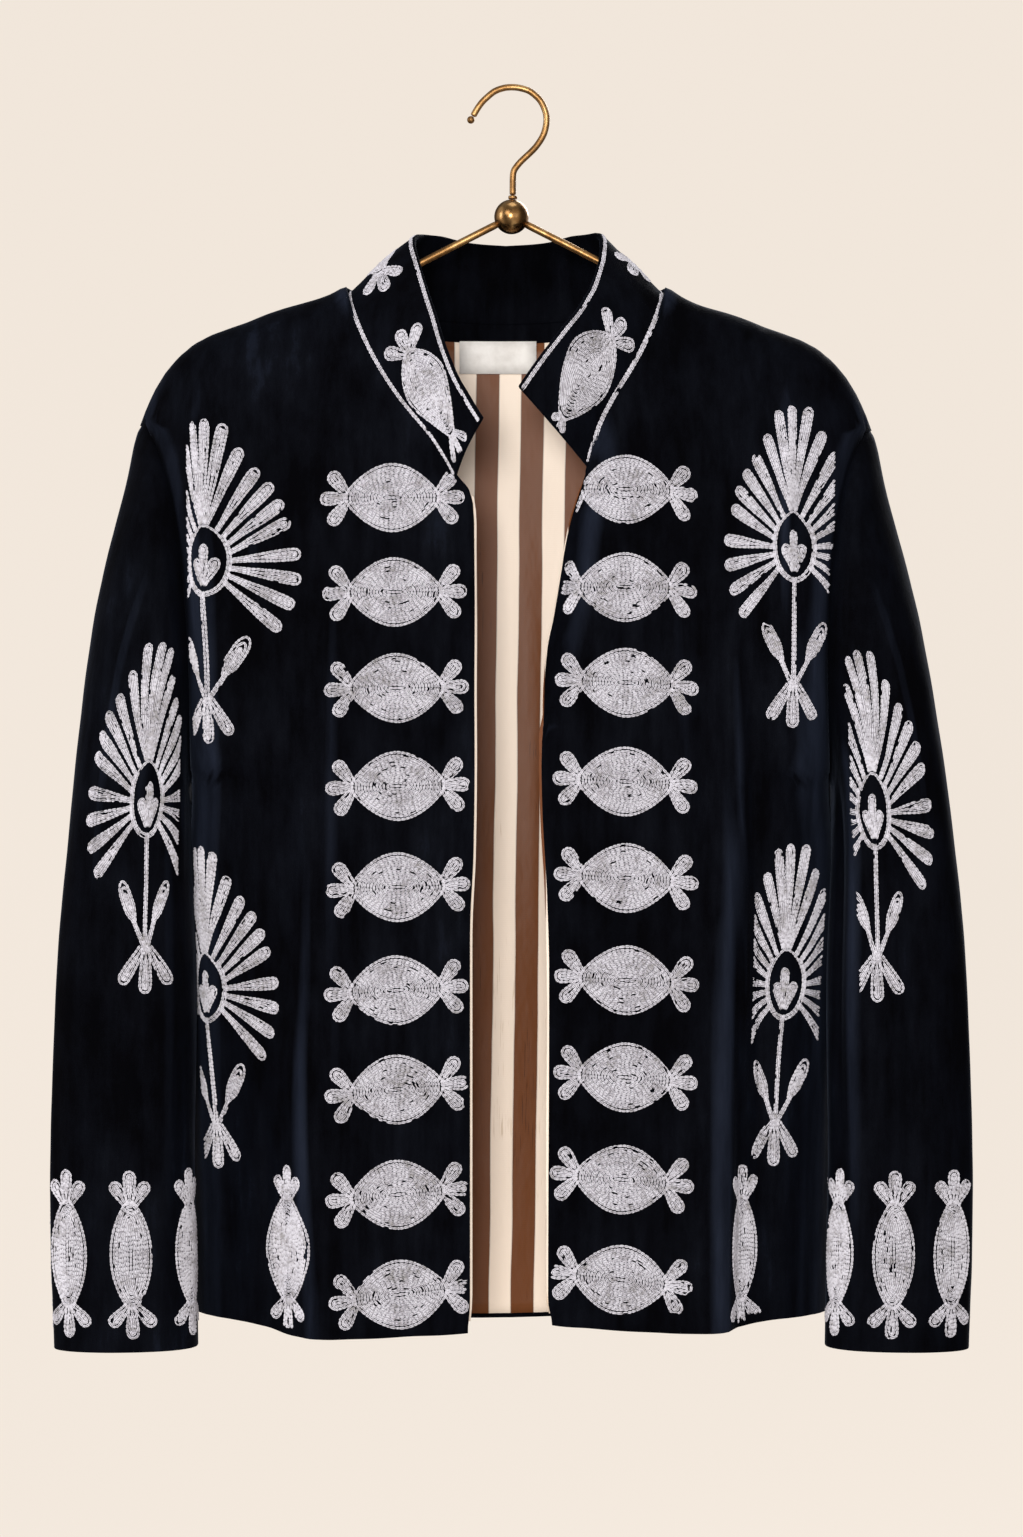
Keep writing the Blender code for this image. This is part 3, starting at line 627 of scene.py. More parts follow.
def smooth_mesh(name, verts, faces, finish):
    """A mesh object from points in millimetres, shaded smooth."""
    mesh = bpy.data.meshes.new(name)
    mesh.from_pydata((np.asarray(verts).reshape(-1, 3) * MM).tolist(), [], faces)
    mesh.materials.append(finish)
    mesh.shade_smooth()
    made = bpy.data.objects.new(name, mesh)
    bpy.context.scene.collection.objects.link(made)
    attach(made, "root")
    return made


def grid_faces(rows, columns, closed):
    i = np.arange(rows - 1)[:, None] * columns
    j = np.arange(columns if closed else columns - 1)[None, :]
    k = (j + 1) % columns
    quads = np.stack([i + j, i + k, i + columns + k, i + columns + j], axis=-1)
    return quads.reshape(-1, 4).tolist()


def evened(rows, times, closed):
    """Values evened out along each row, which closes on itself on a tube."""
    for _ in range(times):
        if closed:
            rows = (np.roll(rows, 1, axis=1) + 2 * rows + np.roll(rows, -1, axis=1)) / 4
        else:
            rows = smoothed(rows.swapaxes(0, 1), 1).swapaxes(0, 1)
    return rows


def ridges(grid, outwards, closed):
    """How far each point stands out of the cloth beside it, from 0 to 1 on the crest of a sharp fold."""
    out = ((grid - evened(grid, RIDGE_REACH, closed)) * normals(grid)).sum(axis=-1) * outwards
    return np.clip((out - evened(out, BEND_REACH, closed)) / RIDGE_TALL, 0, 1)


def cloth_piece(name, grid, wall, finish, closed=False, edge=0.45, outwards=0):
    """A wall of cloth through rows of points, with a softened rim and a map of its flat size in metres. Where
    outwards gives its outer side, its fold crests are marked for the finish, which paints a highlight on
    them."""
    rows, columns = grid.shape[:2]
    made = smooth_mesh(name, grid, grid_faces(rows, columns, closed), finish)
    if outwards:
        # The fold crests marked here get a painted highlight in the velvet's colour.
        fold = made.data.attributes.new("fold", "FLOAT", "POINT")
        fold.data.foreach_set("value", ridges(grid, outwards, closed).ravel())
    along = np.cumsum(np.linalg.norm(np.diff(grid, axis=1, prepend=grid[:, :1]), axis=2), axis=1)
    along -= along[:, :1]
    layer = made.data.uv_layers.new(name="flat")
    corner = np.empty(len(made.data.loops), dtype=int)
    made.data.loops.foreach_get("vertex_index", corner)
    flat = np.stack([along, grid[..., 2]], axis=-1).reshape(-1, 2) * MM
    layer.data.foreach_set("uv", flat[corner].ravel())
    solid = made.modifiers.new("wall", "SOLIDIFY")
    solid.thickness = wall * MM
    solid.offset = 0
    if edge:
        rim = made.modifiers.new("rim", "BEVEL")
        rim.width = edge * MM
        rim.segments = 2
        rim.limit_method = "ANGLE"
        rim.angle_limit = math.radians(60)
    return made


def inner_layer(grid, inward, wall, gap):
    """A second layer of cloth lying inside the first."""
    return grid + normals(grid) * inward * (VELVET_WALL / 2 + gap + wall / 2)


# Places on the cloth

# The fronts' places are counted from this distance across, and the maps stay this far inside the edges.
MAP_MIDDLE = 120.0
MAP_EDGE = 1.2
MAP_HEIGHTS = np.arange(-150.0, -768.0, -4.0)


def mixed(table, low, part, column):
    """A table's values at places between its rows and columns."""
    left = np.minimum(column.astype(int), table.shape[1] - 2)
    share = (column - left)[(...,) + (None,) * (table.ndim - 2)]
    part = part[(...,) + (None,) * (table.ndim - 2)]
    top = table[low, left] * (1 - share) + table[low, left + 1] * share
    bottom = table[low + 1, left] * (1 - share) + table[low + 1, left + 1] * share
    return top * (1 - part) + bottom * part


class ClothMap:
    """Finds a place on a piece by its distance round the piece and its height."""

    def __init__(self, points, heights, good, start, outwards, even=True, level=None):
        self.points = points
        self.even = even
        self.way = 1 if points[0, start + 1, 0] > points[0, start, 0] else -1
        self.heights = heights
        self.good = good.astype(float)
        step = np.linalg.norm(np.diff(points, axis=1), axis=2)
        self.around = np.concatenate([np.zeros((len(points), 1)), np.cumsum(step, axis=1)], axis=1)
        if start:
            self.around = self.around - self.around[:, start:start + 1]
        if level is not None:
            for row, across in enumerate(level):
                self.around[row] -= np.interp(MAP_MIDDLE, across, self.around[row])
        n = np.cross(np.gradient(points, axis=1), np.gradient(points, axis=0))
        size = np.linalg.norm(n, axis=-1, keepdims=True)
        self.normal = outwards * n / np.maximum(size, 1e-9)

    def cells(self, s, z):
        row = np.interp(-z, -self.heights, np.arange(len(self.heights)))
        low = np.minimum(row.astype(int), len(self.heights) - 2)
        part = row - low
        index = np.arange(self.points.shape[1])
        first = np.array([np.interp(a, self.around[r], index) for a, r in zip(s, low)])
        second = np.array([np.interp(a, self.around[r + 1], index) for a, r in zip(s, low)])
        return low, part, first * (1 - part) + second * part

    def at(self, s, z):
        """Points, outward normals and whether the cloth is there."""
        cells = self.cells(s, z)
        column = cells[2]
        inside = (column > 0.02) & (column < self.points.shape[1] - 1.02)
        good = (mixed(self.good, *cells) > 0.99) & inside
        return mixed(self.points, *cells), mixed(self.normal, *cells), good

    def place(self, x, z):
        """The distance round and the height at which the piece's viewed side has this x and hung height."""
        height = float(z)
        for _ in range(3 if self.even else 0):
            height = z + float(droop(np.array(x + sway(height)), height))
        row = int(np.clip(round(float(np.interp(-height, -self.heights, np.arange(len(self.heights))))),
                          0, len(self.heights) - 1))
        line, around = self.points[row, :, 0] * self.way, self.around[row]
        first = np.argmin(np.where(around <= 0, line, np.inf))
        last = np.argmax(np.where(around >= 0, line, -np.inf))
        return float(np.interp(x * self.way, line[first:last + 1], around[first:last + 1])), height


def front_map(side):
    heights = MAP_HEIGHTS
    edge = curve(FRONT_EDGE[side], "height", "across")(heights)[:, None]
    neck = curve(NECKLINE[side], "height", "across")(heights)[:, None]
    inner = np.where(heights[:, None] > FRONT_EDGE[side]["height"][0], neck, edge) + MAP_EDGE
    outer = outer_edge(heights)[:, None] - MAP_EDGE
    hem = curve(HEM[side], "across", "height")
    across = inner + (outer - inner) * np.linspace(0, 1, 160)
    height = np.broadcast_to(heights[:, None], across.shape)
    good = (height < shoulder_height(across) - 2) & (height > hem(across) + 1.5)
    depth = fine_front_depth(side, across, height)
    points = hung(np.stack([SIDES[side] * across, depth, height], axis=-1))
    return ClothMap(points, heights, good, 0, -SIDES[side], level=across)


def back_map():
    heights = MAP_HEIGHTS
    hem = curve(HEM["back"], "across", "height")
    x = np.linspace(-1, 1, 241) * (outer_edge(heights)[:, None] - MAP_EDGE)
    height = np.broadcast_to(heights[:, None], x.shape)
    good = height > hem(np.abs(x)) + 1.5
    points = hung(np.stack([x, fine_back_depth(x, height), height], axis=-1))
    return ClothMap(points, heights, good, 120, 1)


def sleeve_map(side):
    """Level slices through the sleeve's rings, all measured from the middle of its front."""
    rings = fine_sleeve(side, 400)
    heights = np.arange(-215.0, -774.0, -4.0)
    columns = np.arange(-SLEEVE_OVERLAP, FINE_AROUND + 1) % FINE_AROUND
    points = np.empty((len(heights), len(columns), 3))
    good = np.empty((len(heights), len(columns)), bool)
    for place, column in enumerate(columns):
        line = rings[:, column]
        for axis in range(3):
            points[:, place, axis] = np.interp(-heights, -line[:, 2], line[:, axis])
        good[:, place] = (heights < line[0, 2] - 2.5) & (heights > line[-1, 2] + 1.2)
    return ClothMap(points, heights, good, SLEEVE_OVERLAP + FINE_AROUND // 4, SIDES[side], even=False)


class BandMap:
    """Finds a place on the collar by its distance along it and its distance up from the seam."""

    def __init__(self, grid, outwards):
        self.points = grid
        self.normal = normals(grid) * outwards
        middle = grid[len(grid) // 2]
        self.along = np.concatenate([[0], np.cumsum(np.linalg.norm(np.diff(middle, axis=0), axis=1))])
        self.width = np.linalg.norm(grid[-1] - grid[0], axis=1)

    def at(self, s, w):
        column = np.interp(s, self.along, np.arange(len(self.along)))
        width = np.interp(s, self.along, self.width)
        row = np.clip(w / width, 0, 1) * (len(self.points) - 1)
        good = (s > 0.8) & (s < self.along[-1] - 0.8) & (w > 0.4) & (w < width - 0.4)
        low = np.minimum(row.astype(int), len(self.points) - 2)
        cells = low, row - low, column
        return mixed(self.points, *cells), mixed(self.normal, *cells), good


# Chain stitch

# A stitch's length, the spacing of rows, the thread, and the shares of stitches and of legs left out.
STITCH = 2.7
SHORTEST_STITCH = 0.8
ROW = 1.62
THREAD_SINK = 0.12
THREAD_WIDE = 0.78
THREAD_TALL = 0.85
MISSED_SHARE = 0.003
PETAL_SLIT = 0.15
MISSED_LEGS = 0.022
chance = np.random.default_rng(7)


def chain_rows(cloth, lines, lift=VELVET_WALL / 2, stitch=STITCH):
    """Ends and normals of the stitches along drawn lines, where the cloth is."""
    starts, ends, ups = [], [], []
    for line in lines:
        line = np.asarray(line, float)
        step = np.linalg.norm(np.diff(line, axis=0), axis=1)
        run = np.concatenate([[0], np.cumsum(step)])
        count = max(1, int(round(run[-1] / (stitch * chance.uniform(0.9, 1.1)))))
        even = np.linspace(0, run[-1], count + 1)
        even[1:-1] += (chance.uniform(-0.26, 0.26, count - 1) + chance.uniform(-0.45, 0.45)) * stitch
        s, z = (np.interp(even, run, line[:, axis]) for axis in (0, 1))
        points, normal, good = cloth.at(s, z)
        points = points + normal * (lift - THREAD_SINK)
        both = good[:-1] & good[1:]
        both &= chance.random(count) > MISSED_SHARE
        starts.append(points[:-1][both])
        ends.append(points[1:][both])
        ups.append(((normal[:-1] + normal[1:]) / 2)[both])
    return [np.concatenate(part) for part in (starts, ends, ups)]


# One leg of a stitch: how far along, how far out to its side, its half width and its height.
LEG = {
    "along": (-0.16, 0.2, 0.7, 1.14),
    "out": (0.14, 0.42, 0.44, 0.18),
    "half": (0, 0.5, 0.52, 0),
    "tall": (0.3, 0.9, 0.85, 0.25),
}
LEG_FACES = ((0, 1, 3), (0, 3, 2), (1, 4, 6), (1, 6, 3), (3, 6, 5), (3, 5, 2), (4, 7, 6), (6, 7, 5))


def stitched(name, stitches, finish):
    """Every stitch as two thread legs that open from its start and close over the next one."""
    start, end, up = (np.concatenate(part) for part in zip(*stitches))
    way = end - start
    size = np.linalg.norm(way, axis=1)
    keep = size > SHORTEST_STITCH
    start, way, up, size = start[keep], way[keep], up[keep], size[keep]
    side = np.cross(up, way)
    side /= np.linalg.norm(side, axis=1, keepdims=True)
    top = np.cross(way, side)
    top /= np.linalg.norm(top, axis=1, keepdims=True)
    wobble = chance.uniform(0.85, 1.15, (len(start), 2, 1))
    legs = []
    for k, hand in enumerate((-1, 1)):
        places = []
        for along, out, half, tall in zip(*LEG.values()):
            middle = start + way * along + side * hand * out * wobble[:, k]
            if half == 0:
                places.append(middle + top * tall * THREAD_TALL * 0.5)
            else:
                places.append(middle - side * half * THREAD_WIDE)
                places.append(middle + side * half * THREAD_WIDE)
                places.append(middle + top * tall * THREAD_TALL * wobble[:, k])
        legs.append(np.stack(places, axis=1))
    legs = np.concatenate(legs)
    legs = legs[chance.random(len(legs)) > MISSED_LEGS]
    base = np.arange(len(legs))[:, None, None] * 8
    faces = (base + np.array(LEG_FACES)[None]).reshape(-1, 3)
    made = smooth_mesh(name, legs, faces.tolist(), finish)
    print(name, len(start), "stitches", len(faces), "triangles")
    return made


# Motifs, drawn in millimetres about their own middle with +v up the motif


def turned(lines, angle, middle=(0, 0), size=1.0):
    """Lines turned by degrees, scaled and moved to a middle."""
    c, s = math.cos(math.radians(angle)), math.sin(math.radians(angle))
    turn = np.array([[c, -s], [s, c]])
    return [np.asarray(line, float) @ turn.T * size + np.asarray(middle, float) for line in lines]


def petal(root, tip, wide, narrow=0.5, point=1.0, full=0.75):
    """A petal filled with rows: loops one inside the other, and a row up the middle where no loop fits."""
    root, tip = np.asarray(root, float), np.asarray(tip, float)
    length = float(np.hypot(*(tip - root)))
    way = (tip - root) / length
    side = np.array([-way[1], way[0]])
    cap = wide / 2 * point
    lines = []
    inset = ROW / 2
    while inset < wide / 2 + ROW * 0.55:
        reach = length - min(inset, wide / 2 - 0.1) * point
        along = np.linspace(0, reach, 40)
        half = wide / 2 * (narrow + (1 - narrow) * ease(along / length, 0, full)) - inset
        rounded = np.clip((along - (length - cap)) / max(cap - inset * point, 0.1), 0, 1)
        bare = (half <= ROW * 0.3) & (half > -ROW * 0.55) & (rounded < 0.5)
        if bare.sum() > 3:
            lines.append(root + way * (along[bare][[0, -1]] + (0, ROW * 0.8))[:, None])
        if half.max() > ROW * 0.3:
            half = half * np.sqrt(1 - rounded**2)
            kept = (half > ROW * 0.3) | (along > reach * 0.92)
            along, half = along[kept], np.maximum(half[kept], 0)
            across = np.concatenate([half, -half[::-1]])
            run = np.concatenate([along, along[::-1]])
            lines.append(root + way * run[:, None] + side * across[:, None])
        inset += ROW + (PETAL_SLIT if inset < ROW else 0)
    return lines


def trefoil(root, angle, reach, wide, fan, middle=1.0, gap=1.5, narrow=0.6):
    """Three petals from about one root; angle is the middle one's, in degrees from +u."""
    lines = []
    for turn, part in ((-fan, 1.0), (fan, 1.0), (0, middle)):
        way = math.radians(angle + turn)
        aside = math.radians(angle + math.copysign(90, turn)) if turn else 0
        start = np.asarray(root, float)
        if turn:
            start = start + gap * np.array([math.cos(aside), math.sin(aside)])
        tip = start + reach * part * np.array([math.cos(way), math.sin(way)])
        lines += petal(start, tip, wide, narrow)
    return lines


def barrel(half_long, half_wide, end, power, lean=0.0):
    """Rows round a pod from its outline inwards, which grow round at its middle, with a slit inside the
    outline. A lean moves the widest place along it, as a share of its half length."""
    lines = []
    inset = ROW / 2
    turn = np.linspace(0, 2 * math.pi, 73)
    u, v = np.cos(turn), np.sin(turn)
    while half_wide - inset > ROW * 0.45:
        high = half_wide - inset
        share = high / half_wide
        long = half_long - inset * 1.14
        pod = 1 - (1 - end * share) * np.abs(u) ** power
        eye = np.sqrt(np.clip(1 - u**2, 0, 1))
        across = np.sign(np.round(v, 9)) * (share**2 * pod + (1 - share**2) * eye)
        along = u + lean * (1 - u**2)
        lines.append(np.stack([along * long + lean * inset, across * high], axis=1))
        inset += ROW + (0.5 if len(lines) == 1 else 0)
    core = max(half_long - half_wide * 1.14, 2.0)
    lines.append(np.array([(lean * half_long - core, 0), (lean * half_long + core, 0)]))
    return lines


def front_pod():
    lines = barrel(29, 21.3, 0.14, 1.9)
    lines += trefoil((27, 0), 0, 18.5, 9.2, 50, 0.94, 1.6)
    return lines + trefoil((-27, 0), 180, 18.5, 9.2, 53, 0.94, 1.6)


def long_pod(wide=13.0):
    """The upright pods of cuffs and hem, drawn lying along u with the foot at -u."""
    lines = barrel(33, wide, 0.2, 2.1)
    lines += trefoil((30, 0), 0, 17, 8.4, 32, 1.27, 2.0)
    return lines + trefoil((-30, 0), 180, 17.5, 8.4, 42, 1.2, 2.0)


def collar_pod(foot_reach, foot_wide, wide=16.8):
    """A pod like a turnip: full near its leaves at +u, and drawn in to a foot of shorter leaves at -u."""
    lines = barrel(31, wide, 0.14, 1.7, 0.14)
    lines += trefoil((29, 0), 0, 17.5, 8.8, 46, 1.0, 1.6)
    return lines + trefoil((-29, 0), 180, foot_reach, foot_wide, 2.6 * foot_reach, 1.15, 1.6, 0.7)


# The petals of one half of a flower, in bunches: how many, and the first and last one's root and tip in
# degrees from upright and its reach.
BUNCHES = {
    "petals": (2, 4, 4),
    "root": ((3, 7), (27, 78), (94, 136)),
    "tip": ((9, 19.5), (32, 67), (87, 132)),
    "reach": ((86, 74), (67, 61), (63, 67)),
}


def shown(lines, low, high):
    """The parts of the lines that lie between two limits across."""
    kept = []
    for line in lines:
        spot = np.linspace(0, len(line) - 1, 12 * len(line))
        fine = np.stack([np.interp(spot, np.arange(len(line)), line[:, axis]) for axis in (0, 1)], axis=1)
        inside = (fine[:, 0] > low) & (fine[:, 0] < high)
        for run in np.split(np.arange(len(fine)), np.flatnonzero(np.diff(inside)) + 1):
            if inside[run[0]] and np.linalg.norm(np.diff(fine[run], axis=0), axis=1).sum() > STITCH * 0.6:
                kept.append(fine[run])
    return kept


def flower(inner=1.0, outer=1.0, inner_end=99.0, outer_end=99.0, size=1.0, upright=0.0, tall=1.0):
    """A fan of petals over a pointed arch with a bud in it, on a stem with two leaves and a trefoil below.
    Folds take up some of the cloth: the half towards the opening and the outer half can be narrower, and end
    where a fold hides the rest. On cloth that slants, upright is how far the fan stands away from its grain,
    and tall makes the fan longer."""
    lines = []
    wide, high = 16.3, 20.8
    for out, first, last in ((0, -90, 270), (ROW * 1.15, -215, 35)):
        turn = np.radians(np.linspace(first, last, 60))
        u = np.sign(np.cos(turn)) * np.abs(np.cos(turn)) ** np.where(np.sin(turn) > 0, 1.4, 1.0)
        lines.append(np.stack([u * (wide + out), np.sin(turn) * (high + out)], axis=1))
    arch = lines[0]
    bearing = np.degrees(np.arctan2(arch[:, 0], arch[:, 1]))
    order = np.argsort(bearing)
    bearing, rim = bearing[order], np.hypot(*arch[order].T) + ROW * 0.6
    fan = [(0.5, 0.5, 87.0)]
    for petals, *ends in zip(*BUNCHES.values()):
        for k in range(petals):
            root, tip, reach = (a + (b - a) * k / (petals - 1) for a, b in ends)
            fan += [(hand * root, hand * tip, reach - 1.2 * hand) for hand in (-1, 1)]
    for root, tip, reach in fan:
        foot = np.interp(root, bearing, rim)
        root, tip = math.radians(90 - root), math.radians(90 - tip)
        lines += petal((math.cos(root) * foot, math.sin(root) * foot),
                       (math.cos(tip) * reach, math.sin(tip) * reach), 8.2, 0.42, 1.0, 0.85)
    lines += trefoil((0, -16), 90, 18.5, 7.8, 26, 1.4, 1.2, 0.5)
    stem = np.linspace(0, 1, 9)
    bend = 2.8 * np.sin(stem * 2.0)
    for lane in (-0.6, 0.6):
        lines.append(np.stack([lane * ROW + bend, -20 - 67 * stem], axis=1))
    foot = np.array([bend[-1], -86])
    lines += trefoil(foot, -90, 25, 7.9, 30, 1.08, 2.0, 0.7)
    for hand in (-1, 1):
        leaf = np.array([hand * 27, 39.5])
        stalk = np.array([foot, foot + leaf * 0.4])
        lines += [stalk, stalk + np.array([ROW * 0.9 * hand, -0.6])]
        lines += petal(foot + leaf * 0.3, foot + leaf, 10.6, 0.15, 2.2, 0.42)
    for line in lines:
        side = np.where(line[:, 0] > 0, inner, outer)
        line[:, 0] *= size * (side + (1 - side) * ease(-line[:, 1], 74, 92))
        line[:, 1] *= size * np.where(line[:, 1] > 0, tall, 1)
    return [line - np.maximum(line[:, 1:], 0) * (upright, 0) for line in shown(lines, -outer_end, inner_end)]


# Finishes

# A wave texture of scale 1 repeats once in this many metres.
WAVE_REPEAT = math.pi / 10


def linear(code):
    """An sRGB hex colour as the linear values that the shaders take."""
    parts = [int(code[k:k + 2], 16) / 255 for k in (1, 3, 5)]
    return [c / 12.92 if c <= 0.04045 else ((c + 0.055) / 1.055) ** 2.4 for c in parts] + [1.0]


def add(tree, kind, inputs=None, stops=(), **settings):
    """Adds a node with its settings and links, and gives its outputs. An input is a socket, a number or a hex
    colour."""
    node = tree.nodes.new("ShaderNode" + kind)
    for name, value in settings.items():
        setattr(node, name, value)
    for spot, value in (inputs or {}).items():
        if isinstance(value, bpy.types.NodeSocket):
            tree.links.new(value, node.inputs[spot])
        else:
            node.inputs[spot].default_value = linear(value) if isinstance(value, str) else value
    for number, (place, colour) in enumerate(stops):
        bar = node.color_ramp.elements
        stop = bar[number] if number < 2 else bar.new(place)
        stop.position = place
        stop.color = linear(colour)
    return node.outputs


def fresh(name):
    """A new finish without nodes, and the place on the piece that its patterns are drawn by."""
    made = bpy.data.materials.new(name)
    made.use_nodes = True
    made.node_tree.nodes.clear()
    return made, made.node_tree, add(made.node_tree, "TexCoord")["Object"]


def cotton_velvet():
    """Cut cotton velvet, dyed midnight navy: upright pile drinks the light that falls on it face on, and pile
    seen from its side glows a soft blue grey by its sheen. The glow of pile crushed aside and of fold crests
    is painted into the colour as a lighter blue grey."""
    made, tree, place = fresh("cotton_velvet")
    # Handling leaves long upright marks 10 mm wide, crushed patches of 24 mm and clouds of 85 mm, painted
    # lighter as a stand-in for the sheen of the crushed pile.
    stretch = add(tree, "Mapping", {"Vector": place, "Scale": (1, 1, 0.14)})[0]
    marks = add(tree, "TexNoise", {
        "Vector": stretch, "Scale": 1 / (10 * MM), "Detail": 5, "Roughness": 0.6})[0]
    stretch = add(tree, "Mapping", {"Vector": place, "Scale": (1, 1, 0.55), "Location": (5, 9, 2)})[0]
    patches = add(tree, "TexNoise", {
        "Vector": stretch, "Scale": 1 / (24 * MM), "Detail": 6, "Roughness": 0.66})[0]
    clouds = add(tree, "TexNoise", {
        "Vector": stretch, "Scale": 1 / (85 * MM), "Detail": 3, "Roughness": 0.5})[0]
    # Tufts of pile 0.3 mm apart, drawn three times as coarse so that they show.
    tufts = add(tree, "TexNoise", {
        "Vector": place, "Scale": 1 / (0.9 * MM), "Detail": 2, "Roughness": 0.6})[0]
    crush_and_sheen = add(tree, "Math", {0: marks, 1: clouds}, operation="MULTIPLY")[0]
    crush_and_sheen = add(tree, "Math", {0: patches, 1: 0.5, 2: crush_and_sheen}, operation="MULTIPLY_ADD")[0]
    crush_and_sheen = add(tree, "Math", {0: tufts, 1: 0.12, 2: crush_and_sheen}, operation="MULTIPLY_ADD")[0]
    # Painted sheen: crushed places get a lighter blue tone, besides their real marks, in place of the light
    # that the bent pile catches.
    tone = add(tree, "ValToRGB", {"Fac": crush_and_sheen},
               [(0.44, "#010103"), (0.58, "#030409"), (0.7, "#05070e"), (0.82, "#0d111b")])["Color"]
    # Painted highlight: the crests of folds get a lighter blue grey colour, more in some places than in
    # others, in place of the light that their pile catches.
    fold = add(tree, "Attribute", attribute_name="fold")["Fac"]
    painted_crest_highlight = add(tree, "MapRange", {"Value": fold, "From Min": 0.2, "To Max": 1.5})[0]
    painted_crest_highlight = add(tree, "Math", {0: painted_crest_highlight, 1: marks}, operation="MULTIPLY", use_clamp=True)[0]
    tone = add(tree, "Mix", {0: painted_crest_highlight, 6: tone, 7: "#181d29"}, data_type="RGBA")[2]
    rough = add(tree, "MapRange", {"Value": crush_and_sheen, "From Min": 0.42, "From Max": 0.72,
                                   "To Min": 0.9, "To Max": 0.66})[0]
    nap = add(tree, "Bump", {"Height": patches, "Distance": 1.8 * MM, "Strength": 0.4})[0]
    nap = add(tree, "Bump", {"Height": marks, "Distance": 0.8 * MM, "Strength": 0.3, "Normal": nap})[0]
    nap = add(tree, "Bump", {"Height": tufts, "Distance": 0.25 * MM, "Strength": 0.5, "Normal": nap})[0]
    shader = add(tree, "BsdfPrincipled", {
        "Base Color": tone, "Roughness": rough, "Normal": nap, "Specular IOR Level": 0.03,
        "Sheen Weight": 0.08, "Sheen Roughness": 0.3, "Sheen Tint": "#8b9ab8"})
    add(tree, "OutputMaterial", {"Surface": shader["BSDF"]})
    return made


def embroidery_cotton():
    """Two-ply embroidery cotton, mercerised and dyed lavender grey: matt in the gaps between its plies, with
    a low shine along each stitch."""
    made, tree, place = fresh("embroidery_cotton")
    # The dye differs from skein to skein, in patches of 14 mm, and from stitch to stitch, 2.2 mm.
    skeins = add(tree, "TexNoise", {
        "Vector": place, "Scale": 1 / (14 * MM), "Detail": 3, "Roughness": 0.6})[0]
    stitches = add(tree, "TexNoise", {
        "Vector": place, "Scale": 1 / (2.2 * MM), "Detail": 2, "Roughness": 0.6})[0]
    dye = add(tree, "Math", {0: skeins, 1: 0.9, 2: stitches}, operation="MULTIPLY_ADD")[0]
    tone = add(tree, "ValToRGB", {"Fac": dye},
               [(0.66, "#989698"), (0.88, "#b2b0b9"), (1.02, "#c8c7d0")])["Color"]
    # The plies' twist is 0.5 mm long.
    twist = add(tree, "TexNoise", {"Vector": place, "Scale": 1 / (0.5 * MM), "Detail": 1})[0]
    plies = add(tree, "Bump", {"Height": twist, "Distance": 0.12 * MM, "Strength": 0.5})[0]
    shader = add(tree, "BsdfPrincipled", {
        "Base Color": tone, "Roughness": 0.55, "Normal": plies, "Specular IOR Level": 0.35,
        "Sheen Weight": 0.2, "Sheen Roughness": 0.5, "Sheen Tint": "#e6e3f4"})
    add(tree, "OutputMaterial", {"Surface": shader["BSDF"]})
    return made


# Warp stripes of the lining: their repeat, the share of it that is brown, and how the back's slope downwards.
STRIPE, BROWN_SHARE = 28.4, 0.505
BACK_STRIPE_AT, BACK_STRIPE_SLOPE = 12.2, 0.0108
FRONT_STRIPE_AT = 14.6


